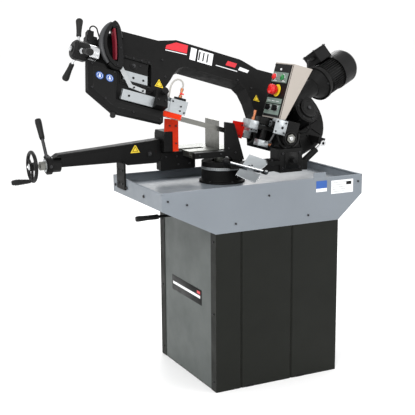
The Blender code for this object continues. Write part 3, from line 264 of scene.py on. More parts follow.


# Edge colours below are lighter tints of each finish: partly worn paint, partly painted highlight on the
# edges.
PALE_EDGE = (0.16, 0.16, 0.155)
FINISHES = {
    "cabinet_black": dict(colour=(0.0080, 0.0088, 0.0070), roughness=0.52, shine=0.14, grain=1400,
                          depth=0.10, vary=0.14, blotch=2.2, edge=(0.10, 0.10, 0.095), edge_share=0.5),
    "cabinet_grey": dict(colour=(0.060, 0.070, 0.066), roughness=0.42, shine=0.3, grain=1400, depth=0.10,
                         vary=0.08, blotch=2.0, edge=(0.26, 0.27, 0.27)),
    "tray_grey": dict(colour=(0.160, 0.180, 0.202), roughness=0.38, shine=0.3, grain=1200, depth=0.10,
                      vary=0.07, blotch=3.0, edge=(0.42, 0.44, 0.46), coat=0.15),
    "cast_black": dict(colour=(0.0040, 0.0040, 0.0040), roughness=0.55, shine=0.13, grain=620,
                       depth=0.55, vary=0.12, blotch=7.0, edge=PALE_EDGE, edge_share=0.35, cells=True),
    "smooth_black": dict(colour=(0.0035, 0.0035, 0.0035), roughness=0.45, shine=0.16, grain=900,
                         depth=0.12, vary=0.10, edge=PALE_EDGE, edge_share=0.35),
    "steel": dict(colour=(0.20, 0.20, 0.185), roughness=0.36, metallic=1.0, grain=500, depth=0.10,
                  stretch=(1, 6, 6), vary=0.12, blotch=9.0),
    "bright_steel": dict(colour=(0.66, 0.67, 0.68), roughness=0.18, metallic=1.0, grain=600, depth=0.05,
                         vary=0.05, rough_vary=0.06),
    "aluminium": dict(colour=(0.50, 0.52, 0.53), roughness=0.38, metallic=1.0, grain=420, depth=0.12,
                      stretch=(1, 7, 7), vary=0.08, blotch=8.0),
    "pale_metal": dict(colour=(0.40, 0.425, 0.44), roughness=0.40, metallic=0.75, grain=420, depth=0.10,
                       stretch=(1, 5, 5), vary=0.06, blotch=8.0),
    "cast_iron": dict(colour=(0.15, 0.155, 0.140), roughness=0.38, metallic=0.85, grain=380, depth=0.16,
                      stretch=(7, 1, 7), vary=0.14, blotch=6.0),
    "plastic_black": dict(colour=(0.0038, 0.0038, 0.0040), roughness=0.46, shine=0.16, grain=1500,
                          depth=0.22, vary=0.08),
    "rubber": dict(colour=(0.0065, 0.0065, 0.0065), roughness=0.60, shine=0.25, grain=1100, depth=0.40,
                   vary=0.12),
    # Grey used for the painted highlight on the handle's back edge, and for the cowl grille.
    "highlight_and_grille_grey": dict(colour=(0.034, 0.035, 0.037), roughness=0.48, shine=0.35, grain=1300, depth=0.35,
                      vary=0.08),
    "guard_orange": dict(colour=(0.62, 0.026, 0.002), roughness=0.46, shine=0.12, grain=1200, depth=0.12,
                         vary=0.07, edge=(0.80, 0.20, 0.08), edge_share=0.5),
    "guard_red": dict(colour=(0.46, 0.005, 0.001), roughness=0.42, shine=0.12, grain=1200, depth=0.10,
                      vary=0.07, edge=(0.70, 0.10, 0.05), edge_share=0.5),
    "box_beige": dict(colour=(0.37, 0.335, 0.30), roughness=0.50, shine=0.2, grain=1100, depth=0.25,
                      vary=0.04, blotch=3.0, edge=(0.72, 0.70, 0.66), edge_share=0.4),
    "panel_green": dict(colour=(0.145, 0.195, 0.170), roughness=0.42, grain=1500, depth=0.05, vary=0.05),
    "button_green": dict(colour=(0.004, 0.17, 0.035), roughness=0.24, grain=900, depth=0.04, vary=0.06,
                         coat=0.4),
    "button_red": dict(colour=(0.62, 0.010, 0.010), roughness=0.26, grain=900, depth=0.04, vary=0.06,
                       coat=0.4),
    "dark_red": dict(colour=(0.13, 0.006, 0.014), roughness=0.42, shine=0.3, grain=900, depth=0.15,
                     vary=0.10),
    "yellow": dict(colour=(0.78, 0.56, 0.02), roughness=0.40, grain=1200, depth=0.06, vary=0.05),
    "tank_grey": dict(colour=(0.30, 0.30, 0.30), roughness=0.50, grain=900, depth=0.15),
    "dark_steel": dict(colour=(0.030, 0.030, 0.032), roughness=0.34, metallic=0.5, grain=700, depth=0.10,
                       vary=0.15),
    "brass": dict(colour=(0.62, 0.36, 0.12), roughness=0.28, metallic=1.0, grain=700, depth=0.08,
                  vary=0.12),
    "copper": dict(colour=(0.52, 0.20, 0.10), roughness=0.30, metallic=1.0, grain=700, depth=0.10,
                   vary=0.18),
    "blue": dict(colour=(0.012, 0.075, 0.30), roughness=0.38, grain=1300, depth=0.05, vary=0.06),
    "white": dict(colour=(0.74, 0.75, 0.76), roughness=0.40, grain=1300, depth=0.05, vary=0.03),
    "decal_red": dict(colour=(0.55, 0.010, 0.022), roughness=0.35, grain=1300, depth=0.05, vary=0.05),
    "hose_grey": dict(colour=(0.34, 0.33, 0.31), roughness=0.36, grain=900, depth=0.10, vary=0.10),
}
LOOKS = {name: look("look_" + name, **values) for name, values in FINISHES.items()}
FINISH_SLOT = {
    "smooth_black": "cast_black", "pale_metal": "aluminium", "rubber": "plastic_black",
    "highlight_and_grille_grey": "plastic_black",
    "panel_green": "plastic_black", "dark_red": "button_red", "yellow": "guard_orange", "brass": "steel",
    "copper": "steel", "dark_steel": "steel", "blue": "plastic_black", "white": "box_beige",
    "decal_red": "guard_red",
    "hose_grey": "tank_grey",
}


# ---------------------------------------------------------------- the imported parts


def soften(part, width, segments=3):
    """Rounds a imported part's sharp edges and smooths what is left."""
    weld = part.modifiers.new("weld", "WELD")
    weld.merge_threshold = 0.00002
    bevel = part.modifiers.new("bevel", "BEVEL")
    bevel.width = width
    bevel.segments = segments
    bevel.limit_method = "ANGLE"
    bevel.angle_limit = radians(38)
    bevel.harden_normals = True
    bevel.use_clamp_overlap = True


SLOT_OF = {part["node"]: part["material_slot"] for part in frame["record"]["subparts"]}
OTHER_LOOK = {
    "vise_nose_hub": "smooth_black", "pivot_column": "smooth_black", "control_panel": "plastic_black",
    "handle_grip": "plastic_black", "trigger": "dark_red", "crank_grip": "rubber",
    "vise_handwheel": "smooth_black",
    "handle_bracket": "aluminium", "fixed_jaw_far": "steel", "tension_slide": "smooth_black",
    "chip_deflector": "pale_metal",
    "guide_arm": "pale_metal", "left_guide_head": "pale_metal", "right_guide_head": "pale_metal",
}
ROUNDING = {
    "bow_casting": 0.004, "head_guard": 0.0035, "vise_beam": 0.003, "vise_guide_block": 0.003,
    "movable_jaw": 0.002,
    "fixed_jaw_near": 0.0015, "fixed_jaw_far": 0.001, "bed_table": 0.002, "pivot_column": 0.004,
    "swivel_arm": 0.0025,
    "control_box": 0.004, "handle_grip": 0.004, "trigger": 0.002, "guide_arm": 0.0012,
    "guide_clamp": 0.003,
    "left_guide_head": 0.0012, "right_guide_head": 0.0012, "chip_deflector": 0.0005,
    "handle_bracket": 0.0008,
    "gearbox": 0.003, "terminal_box": 0.003, "vise_support_bar": 0.0015, "swivel_drum": 0.002,
    "vise_nose_hub": 0.002, "vise_lock_lever": 0.0015, "bed_lock_lever": 0.0015,
    "swivel_lock_lever": 0.0015,
    "vise_handwheel": 0.001, "jaw_guard": 0.0006, "right_guard": 0.0006, "left_blade_cover": 0.0006,
    "cabinet_side_near": 0.0012, "cabinet_side_far": 0.0012, "chip_tray": 0.0010,
    "bow_back_cover": 0.0015,
    "pivot_shaft": 0.001, "tension_slide": 0.001, "feed_cylinder_barrel": 0.001, "coolant_tank": 0.001,
}


def dress_parts():
    for name, part in NODES.items():
        slot = SLOT_OF[name]
        part.data.materials.clear()
        part.data.materials.append(LOOKS[OTHER_LOOK.get(name, slot)])
        if name in ROUNDING:
            soften(part, ROUNDING[name])


dress_parts()


# ---------------------------------------------------------------- building pieces


class Kit:
    """Gathers the small shapes of one finish on one body, in one of the machine's frames, into one piece."""

    def __init__(self, name, body, finish, place=WORLD, bevel=0.0, slot=None):
        self.name = name
        self.body = body
        self.finish = finish
        self.place = place
        self.bevel = bevel
        self.slot = slot or FINISH_SLOT.get(finish, finish)
        self.shape = bmesh.new()

    def absorb(self, other, place=WORLD):
        mesh = bpy.data.meshes.new("scrap")
        bmesh.ops.recalc_face_normals(other, faces=other.faces)
        other.to_mesh(mesh)
        other.free()
        mesh.transform(place)
        self.shape.from_mesh(mesh)
        bpy.data.meshes.remove(mesh)
        return self

    def block(self, low, high, turn=None, rounding=0.0, segments=2):
        """A box between two corners, turned about its middle if a rotation is given."""
        low, high = Vector(low), Vector(high)
        other = bmesh.new()
        bmesh.ops.create_cube(other, size=1.0)
        bmesh.ops.scale(other, vec=high - low, verts=other.verts)
        if rounding:
            bmesh.ops.bevel(other, geom=other.edges[:], offset=rounding, segments=segments,
                            affect="EDGES", profile=0.5)
        place = Matrix.Translation((low + high) / 2)
        if turn:
            place = place @ turn
        return self.absorb(other, place)

    def rod(self, start, end, radius, end_radius=None, sides=24, rounding=0.0):
        start, end = Vector(start), Vector(end)
        reach = end - start
        other = bmesh.new()
        far = radius if end_radius is None else end_radius
        bmesh.ops.create_cone(other, cap_ends=True, segments=sides, radius1=radius, radius2=far,
                              depth=reach.length)
        if rounding:
            rims = [e for e in other.edges if abs(e.verts[0].co.z - e.verts[1].co.z) < 1e-6]
            bmesh.ops.bevel(other, geom=rims, offset=rounding, segments=3, affect="EDGES", profile=0.5)
        turn = Vector((0, 0, 1)).rotation_difference(reach).to_matrix().to_4x4()
        return self.absorb(other, Matrix.Translation((start + end) / 2) @ turn)

    def turned(self, profile, origin, axis, sides=32):
        """A (radius, height) profile, closed or ending on the axis, turned about that axis."""
        other = bmesh.new()
        rings = []
        for radius, height in profile:
            angles = [2 * pi * k / sides for k in range(sides if radius else 1)]
            rings.append([other.verts.new((radius * cos(t), radius * sin(t), height)) for t in angles])
        if profile[0] == profile[-1]:
            for spare in rings[-1]:
                other.verts.remove(spare)
            rings[-1] = rings[0]
        for ring, following in zip(rings, rings[1:]):
            for k in range(sides):
                after = (k + 1) % sides
                around = ((ring, k), (ring, after), (following, after), (following, k))
                corners = [loop[n % len(loop)] for loop, n in around]
                corners = list(dict.fromkeys(corners))
                if len(corners) > 2:
                    other.faces.new(corners)
        turn = Vector((0, 0, 1)).rotation_difference(Vector(axis)).to_matrix().to_4x4()
        return self.absorb(other, Matrix.Translation(origin) @ turn)

    def socket_screw(self, at, axis, radius=0.004):
        """A cap screw with a hexagon recess, its head standing along the axis."""
        r = radius
        outer = [(0.0, -0.5 * r), (r * 1.6, -0.5 * r), (r * 1.6, -0.1 * r), (r, -0.1 * r), (r, 0.75 * r),
                 (0.85 * r, 0.95 * r)]
        outer += [(0.56 * r, 0.95 * r), (0.50 * r, 0.3 * r), (0.0, 0.3 * r)]
        return self.turned(outer, at, axis, sides=18)

    def hex_bolt(self, at, axis, radius=0.006):
        at, axis = Vector(at), Vector(axis).normalized()
        self.rod(at - axis * radius * 0.3, at + axis * radius * 0.25, radius * 1.55, sides=24)
        return self.rod(at + axis * radius * 0.2, at + axis * radius * 1.1, radius * 1.12, sides=6,
                        rounding=radius * 0.12)

    def plate(self, outline, low, high, plane="XY"):
        """A flat outline given thickness along the third axis of the plane."""
        order = {"XY": (0, 1, 2), "XZ": (0, 2, 1), "YZ": (1, 2, 0)}[plane]
        other = bmesh.new()
        loops = []
        for level in (low, high):
            loop = []
            for across, up in outline:
                point = [0.0, 0.0, 0.0]
                point[order[0]], point[order[1]], point[order[2]] = across, up, level
                loop.append(other.verts.new(point))
            loops.append(loop)
        other.faces.new(loops[0])
        other.faces.new(loops[1])
        count = len(outline)
        for n in range(count):
            after = (n + 1) % count
            other.faces.new((loops[0][n], loops[0][after], loops[1][after], loops[1][n]))
        return self.absorb(other)

    def tube(self, points, radius, sides=12, closed_ends=True, steps=8, radii=None):
        """A round hose or bar along a smooth curve through the points."""
        path = smooth_path([Vector(p) for p in points], steps)
        other = bmesh.new()
        rings = []
        side = None
        for n, centre in enumerate(path):
            ahead = (path[min(n + 1, len(path) - 1)] - path[max(n - 1, 0)]).normalized()
            if side is None:
                side = ahead.orthogonal().normalized()
            side = (side - ahead * side.dot(ahead)).normalized()
            other_side = ahead.cross(side)
            size = radius if radii is None else radii(n / (len(path) - 1)) * radius
            turn = [2 * pi * k / sides for k in range(sides)]
            spots = [centre + (side * cos(t) + other_side * sin(t)) * size for t in turn]
            rings.append([other.verts.new(spot) for spot in spots])
        for ring, following in zip(rings, rings[1:]):
            for k in range(sides):
                after = (k + 1) % sides
                other.faces.new((ring[k], ring[after], following[after], following[k]))
        if closed_ends:
            other.faces.new(rings[0])
            other.faces.new(rings[-1])
        return self.absorb(other)

    def done(self, replaces=(), sharp=35):
        mesh = bpy.data.meshes.new(self.name)
        bmesh.ops.recalc_face_normals(self.shape, faces=self.shape.faces)
        self.shape.to_mesh(mesh)
        self.shape.free()
        mesh.transform(self.place)
        mesh.shade_smooth()
        mesh.set_sharp_from_angle(angle=radians(sharp))
        mesh.materials.append(LOOKS[self.finish])
        piece = bpy.data.objects.new(self.name, mesh)
        bpy.context.scene.collection.objects.link(piece)
        if self.bevel:
            bevel = piece.modifiers.new("bevel", "BEVEL")
            bevel.width = self.bevel
            bevel.segments = 2
            bevel.limit_method = "ANGLE"
            bevel.angle_limit = radians(40)
            bevel.harden_normals = True
        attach(piece, self.body)
        if replaces:
            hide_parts(*replaces)
        return piece


def smooth_path(points, steps):
    """Catmull-Rom curve through the points."""
    if len(points) == 2:
        return points
    padded = [points[0] * 2 - points[1]] + points + [points[-1] * 2 - points[-2]]
    path = []
    for a, b, c, d in zip(padded, padded[1:], padded[2:], padded[3:]):
        for step in range(steps):
            t = step / steps
            square = 2 * a - 5 * b + 4 * c - d
            cube = 3 * b - a - 3 * c + d
            path.append(0.5 * ((2 * b) + (c - a) * t + square * t * t + cube * t ** 3))
    path.append(points[-1])
    return path


# ---------------------------------------------------------------- cabinet and tray

TRAY_X = (-0.522, 0.407)
TRAY_Y = (-0.269, 0.227)
TRAY_RIM_Z = 0.847


def tray_dress():
    rim = Kit("tray_rim", "stand", "tray_grey", bevel=0.0008)
    (left, right), (near, far) = TRAY_X, TRAY_Y
    for y, out in ((near, -1), (far, 1)):
        rim.rod((left, y - out * 0.004, TRAY_RIM_Z), (right, y - out * 0.004, TRAY_RIM_Z), 0.0042,
                sides=16)
    for x, out in ((left, -1), (right, 1)):
        rim.rod((x - out * 0.004, near, TRAY_RIM_Z), (x - out * 0.004, far, TRAY_RIM_Z), 0.0042,
                sides=16)
    rim.block((left + 0.003, near + 0.003, 0.8151), (right - 0.003, near + 0.010, 0.822), rounding=0.003)
    rim.done()

    seams = Kit("tray_weld_beads", "stand", "tray_grey")
    for y in (near + 0.004, far - 0.004):
        seams.tube([(left + 0.01, y, 0.8165), (-0.1, y, 0.8170), (right - 0.01, y, 0.8165)], 0.0024,
                   sides=8, steps=24)
    seams.done()

    bolts = Kit("tray_bolts", "stand", "dark_steel")
    for x, z in ((-0.047, 0.800), (0.386, 0.821), (-0.414, 0.797), (-0.495, 0.818), (0.140, 0.700),
                 (-0.200, 0.700)):
        bolts.socket_screw((x, near - 0.0003, z), (0, -1, 0), 0.0042)
    for y, z in ((0.136, 0.811), (0.075, 0.817), (-0.10, 0.812), (0.20, 0.812)):
        bolts.hex_bolt((left - 0.0003, y, z), (-1, 0, 0), 0.0045)
    bolts.done()

    blank_blue = Kit("apron_label_blue", "stand", "blue", bevel=0.0002)
    blank_blue.block((0.178, near - 0.0008, 0.806), (0.230, near + 0.0002, 0.838))
    blank_blue.done()
    blank_white = Kit("apron_labels_white", "stand", "white", bevel=0.0002)
    blank_white.block((0.178, near - 0.0008, 0.792), (0.230, near + 0.0002, 0.806))
    blank_white.block((0.252, near - 0.0008, 0.778), (0.361, near + 0.0002, 0.834))
    blank_white.done()
    lines = Kit("apron_label_lines", "stand", "smooth_black")
    for number in range(5):
        z = 0.786 + number * 0.0095
        lines.block((0.258, near - 0.0010, z), (0.318 + 0.006 * (number % 3), near - 0.0006, z + 0.0012))
    lines.block((0.326, near - 0.0010, 0.812), (0.352, near - 0.0006, 0.826))
    lines.done()

    drain = Kit("tray_drain", "stand", "bright_steel")
    drain.turned([(0, 0.0022), (0.018, 0.0022), (0.021, 0.0012), (0.023, 0.0002), (0, 0.0002)],
                 (0.28, -0.20, 0.8152), (0, 0, 1))
    drain.done()
    # Black strips painted as the shade inside the drain's slots.
    opening_shade = Kit("tray_drain_slot_shade", "stand", "smooth_black")
    for number in range(5):
        opening_shade.block((0.266, -0.2105 + 0.0048 * number, 0.8172),
                    (0.294, -0.2085 + 0.0048 * number, 0.8178))
    opening_shade.done()


def cabinet_dress():
    screws = Kit("cabinet_screws", "stand", "dark_steel")
    for x in (-0.268, 0.268):
        for z in (0.04, 0.33, 0.63):
            screws.socket_screw((x, 0.2692, z), (0, 1, 0), 0.0036)
    for y in (-0.248, 0.248):
        for z in (0.04, 0.33, 0.63):
            screws.socket_screw((-0.2902, y, z), (-1, 0, 0), 0.0036)
            screws.socket_screw((0.2902, y, z), (1, 0, 0), 0.0036)
    screws.done()
    badge = Kit("front_badge_plate", "stand", "smooth_black", bevel=0.0004)
    badge.block((-0.2892, -0.135, 0.335), (-0.2872, 0.150, 0.400), rounding=0.0006)
    badge.done()
    stripe = Kit("front_badge_stripe", "stand", "white", bevel=0.0002)
    stripe.block((-0.2896, -0.125, 0.362), (-0.2888, 0.140, 0.374))
    stripe.done()
    mark = Kit("front_badge_mark", "stand", "decal_red")
    mark.block((-0.2896, -0.125, 0.380), (-0.2888, -0.095, 0.392))
    mark.done()
    feet = Kit("cabinet_levelling_feet", "stand", "rubber")
    for x in (-0.25, 0.25):
        for y in (-0.23, 0.23):
            feet.turned([(0, 0.0018), (0.018, 0.0018), (0.020, 0.0), (0, 0.0)], (x, y, 0.00001),
                        (0, 0, 1))
    feet.done()
    # Black blocks painted as the shade under the cabinet seen through the foot notches.
    notch_shade = Kit("cabinet_foot_notch_shade", "stand", "smooth_black")
    for x in (-0.133, 0.111):
        notch_shade.block((x - 0.020, -0.2696, 0.0), (x + 0.020, -0.2688, 0.012))
    notch_shade.done()
    vents = Kit("back_panel_louvres", "stand", "cabinet_black", bevel=0.0003)
    for number in range(9):
        z = 0.42 + number * 0.018
        vents.block((0.2895, -0.10, z), (0.2925, 0.10, z + 0.006), rounding=0.0012)
    vents.done()


# ---------------------------------------------------------------- bed and vise


def bed_dress():
    drum = (-0.099, 0.040)
    scale = Kit("turntable_scale", "stand", "aluminium", bevel=0.0002)
    ring = [(0.0885, 0.058), (0.0892, 0.058), (0.0892, 0.0695), (0.0885, 0.0695), (0.0885, 0.058)]
    scale.turned(ring, (*drum, 0.815), (0, 0, 1), sides=96)
    scale.done()
    marks = Kit("turntable_scale_marks", "stand", "smooth_black")
    for number in range(-60, 61, 5):
        angle = radians(-90 + number)
        tall = 0.0085 if number % 15 == 0 else 0.0055
        out = Vector((cos(angle), sin(angle), 0)) * 0.0893
        spot = Vector((*drum, 0.8795)) + out
        turn = Matrix.Rotation(angle, 4, "Z")
        half = Vector((0.0002, 0.0004, tall / 2))
        marks.block(spot - half, spot + half, turn=turn)
    marks.done()
    bolts = Kit("turntable_bolts", "stand", "dark_steel")
    for number in range(6):
        angle = radians(30 + 60 * number)
        bolts.socket_screw((drum[0] + 0.0925 * cos(angle), drum[1] + 0.0925 * sin(angle), 0.8245),
                           (0, 0, 1), 0.0032)
    for x, z in ((-0.225, 0.938), (-0.125, 0.938), (-0.088, 0.960), (-0.055, 0.940)):
        bolts.socket_screw((x, -0.0003, z), (0, -1, 0), 0.0042)
    bolts.done()
    grooves = Kit("jaw_serrations", "stand", "steel")
    for number in range(18):
        z = 0.958 + number * 0.006
        grooves.block((-0.1036, 0.060, z), (-0.1029, 0.189, z + 0.003))
    grooves.done()
    slots = Kit("table_t_slot_lips", "stand", "cast_iron", bevel=0.0003)
    for y in (0.1232, 0.1628):
        slots.block((-0.244, y - 0.0012, 0.9490), (-0.140, y + 0.0012, 0.9502))
    slots.done()


def vise_dress():
    near = 0.118
    triangle = Kit("vise_warning_triangle", "stand", "yellow", bevel=0.0002)
    triangle.plate([(-0.4645, 0.990), (-0.486, 0.953), (-0.443, 0.953)], near - 0.0007, near + 0.0002,
                   plane="XZ")
    triangle.done()
    inner = Kit("vise_triangle_mark", "stand", "smooth_black")
    inner.plate([(-0.4645, 0.981), (-0.4775, 0.958), (-0.4515, 0.958)], near - 0.0010, near - 0.0006,
                plane="XZ")
    inner.done()
    filling = Kit("vise_triangle_middle", "stand", "yellow")
    filling.plate([(-0.4645, 0.977), (-0.4740, 0.9598), (-0.4550, 0.9598)], near - 0.0013, near - 0.0009,
                  plane="XZ")
    filling.done()
    ribs = Kit("vise_beam_ribs", "stand", "cast_black", bevel=0.0012)
    ribs.plate([(-0.780, 0.9185), (-0.520, 0.9185), (-0.520, 0.926), (-0.780, 0.926)], near - 0.0030,
               near + 0.001, plane="XZ")
    ribs.plate([(-0.786, 0.9605), (-0.609, 0.9735), (-0.3495, 0.9935), (-0.3495, 1.002), (-0.609, 0.982),
                (-0.786, 0.969)],
               near - 0.0030, near + 0.001, plane="XZ")
    ribs.rod((-0.400, near - 0.003, 0.945), (-0.400, near + 0.001, 0.945), 0.014, sides=28)
    ribs.done(sharp=30)
    bolts = Kit("vise_bolts", "stand", "dark_steel")
    bolts.hex_bolt((-0.400, near - 0.003, 0.945), (0, -1, 0), 0.0058)
    for x, z in ((-0.325, 0.925), (-0.275, 0.925), (-0.268, 0.890), (-0.215, 0.890)):
        bolts.socket_screw((x, near - 0.0003, z), (0, -1, 0), 0.0042)
    for z in (0.830, 0.885):
        bolts.socket_screw((-0.5305, 0.105, z), (-1, 0, 0), 0.0045)
        bolts.socket_screw((-0.5305, 0.146, z), (-1, 0, 0), 0.0045)
    bolts.done()
    collar = Kit("nose_hub_face", "stand", "aluminium", bevel=0.0004)
    collar.turned([(0.0084, 0.0018), (0.024, 0.0018), (0.0255, 0.0003), (0.0084, 0.0003),
                   (0.0084, 0.0018)],
                  (-0.8449, *VISE_SCREW), (-1, 0, 0), sides=40)
    collar.done()

    thread = Kit("vise_screw_thread", "vise_crank", "steel")
    pitch, turns = 0.006, 88
    points = []
    for number in range(turns * 10 + 1):
        angle = 2 * pi * number / 10
        points.append((-0.775 + pitch * number / 10, 0.143 + 0.0076 * cos(angle),
                       0.926 + 0.0076 * sin(angle)))
    thread.tube(points, 0.0009, sides=4, steps=1)
    thread.done()

    wheel = Kit("handwheel_cap", "vise_crank", "bright_steel")
    wheel.turned([(0, 0.0050), (0.006, 0.0046), (0.010, 0.0022), (0.0125, 0.0002), (0, 0.0002)],
                 (-0.912, *VISE_SCREW), (-1, 0, 0))
    wheel.hex_bolt((-0.9165, *VISE_SCREW), (-1, 0, 0), 0.0036)
    wheel.done()
    rings = Kit("crank_grip_grooves", "crank_handle", "rubber")
    for number in range(9):
        x = -0.920 - number * 0.0062
        radius = 0.0088 + 0.00052 * min(number, 6)
        rings.turned([(radius - 0.0012, -0.0014), (radius + 0.0006, -0.0009), (radius + 0.0006, 0.0009),
                      (radius - 0.0012, 0.0014), (radius - 0.0012, -0.0014)], (x, 0.143, 0.868),
                      (1, 0, 0), sides=28)
    rings.done()
    tip = Kit("crank_grip_cap", "crank_handle", "bright_steel")
    tip.turned([(0, 0.0026), (0.0045, 0.0022), (0.0062, 0.0), (0, 0.0)], (-0.9870, 0.143, 0.868),
               (-1, 0, 0))
    tip.done()

    lean = radians(35)
    up = Vector((0, sin(lean), cos(lean)))
    lever_axis = Vector((-0.831, *VISE_SCREW))
    lever = Kit("vise_lock_grip", "vise_lock", "rubber")
    grip = [(0.0, 0.0), (0.0095, 0.0), (0.0112, 0.004), (0.0118, 0.025), (0.0138, 0.070),
            (0.0134, 0.080),
            (0.0100, 0.086), (0.0, 0.0875)]
    lever.turned(grip, lever_axis + up * 0.124, up, sides=32)
    lever.done()
    stem = Kit("vise_lock_stem_sleeve", "vise_lock", "dark_steel")
    stem.rod(lever_axis + up * 0.047, lever_axis + up * 0.1235, 0.0068, sides=24)
    stem.hex_bolt(lever_axis + up * 0.0385, up, 0.008)
    stem.done()
    split = Kit("vise_lock_ring_bolt", "vise_lock", "dark_steel")
    split.socket_screw(lever_axis + Vector((0, -0.0375, 0)), (0, -1, 0), 0.0042)
    split.done()

    jaw = Kit("movable_jaw_screws", "jaw", "dark_steel")
    jaw.socket_screw((-0.270 - 0.022, 0.0863, 1.058), (0, -1, 0), 0.0036)
    jaw.socket_screw((-0.270 - 0.022, 0.0863, 0.985), (0, -1, 0), 0.0036)
    jaw.socket_screw((-0.270 - 0.050, 0.0863, 1.060), (0, -1, 0), 0.0036)
    jaw.done()
    face = Kit("movable_jaw_face", "jaw", "steel", bevel=0.0003)
    face.block((-0.2805, 0.094, 0.953), (-0.2792, 0.186, 1.070))
    for number in range(17):
        z = 0.958 + number * 0.0064
        face.block((-0.2796, 0.096, z), (-0.2786, 0.184, z + 0.003))
    face.done()


# ---------------------------------------------------------------- column and pivot


def column_dress():
    bolts = Kit("column_bolts", "head", "dark_steel")
    for x, z in ((0.118, 0.872), (0.200, 0.872), (0.118, 0.935), (0.200, 0.935)):
        bolts.socket_screw((x, -0.1003, z), (0, -1, 0), 0.0052)
    for x in (0.030, 0.075):
        bolts.socket_screw((x, -0.045, 0.9052), (0, 0, 1), 0.0052)
        bolts.socket_screw((x, -0.083, 0.9052), (0, 0, 1), 0.0052)
    for x in (-0.047, -0.033):
        bolts.socket_screw((x, -0.1038, 0.898), (0, -1, 0), 0.0032)
    bolts.done()
    cover = Kit("column_cover", "head", "smooth_black", bevel=0.0015)
    cover.block((0.128, -0.1045, 0.865), (0.192, -0.0998, 0.940), rounding=0.002)
    cover.rod((0.160, -0.1085, 0.905), (0.160, -0.1040, 0.905), 0.018, sides=28)
    cover.done()
    valve = Kit("feed_valve_knob", "head", "plastic_black")
    valve.turned([(0, 0.024), (0.009, 0.024), (0.011, 0.021), (0.011, 0.010), (0.006, 0.008),
                  (0.006, 0.0), (0, 0.0)],
                 (0.160, -0.1085, 0.905), (0, -1, 0), sides=10)
    valve.done(sharp=20)
    fold = Kit("deflector_fold", "head", "bright_steel", bevel=0.0003)
    fold.tube([(0.0300, -0.1032, 0.917), (0.0400, -0.1032, 0.897), (0.0060, -0.1032, 0.8745)], 0.0014,
              sides=8, steps=2)
    fold.tube([(0.008, -0.1030, 0.8565), (-0.018, -0.1030, 0.8235), (-0.110, -0.1030, 0.8645)], 0.0012,
              sides=8, steps=2)
    fold.done()
    lever = Kit("swivel_lever_ferrule", "swivel_lock", "bright_steel")
    axis = Vector((0.026, -0.112, 0.868))
    reach = Vector((-0.186, 0, 0.058))
    lever.rod(axis + reach * 0.07, axis + reach * 0.90, 0.0053, sides=24)
    lever.hex_bolt(axis + Vector((0, -0.0062, 0)), (0, -1, 0), 0.0055)
    lever.done()
    knob = Kit("swivel_lever_knob_cover", "swivel_lock", "plastic_black")
    knob.turned([(0, 0.0148), (0.0065, 0.0132), (0.0118, 0.0085), (0.0145, 0.0), (0.0125, -0.0078),
                 (0.0075, -0.0128), (0, -0.0132)],
                axis + reach, reach, sides=28)
    knob.done()
    bed = Kit("bed_lever_grip_ribs", "bed_lock", "rubber")
    start = Vector((-0.099, 0.040, 0.690))
    grip = [(0, -0.0015), (0.0100, 0.0), (0.0108, 0.006), (0.0104, 0.050), (0.0122, 0.090),
            (0.0108, 0.1000), (0, 0.1030)]
    bed.turned(grip, start - Vector((0.3005, 0, 0)), (-1, 0, 0), sides=28)
    bed.done()


# ---------------------------------------------------------------- bow

FRONT = 0.040
STICKER = (FRONT - 0.0002, FRONT + 0.0006)


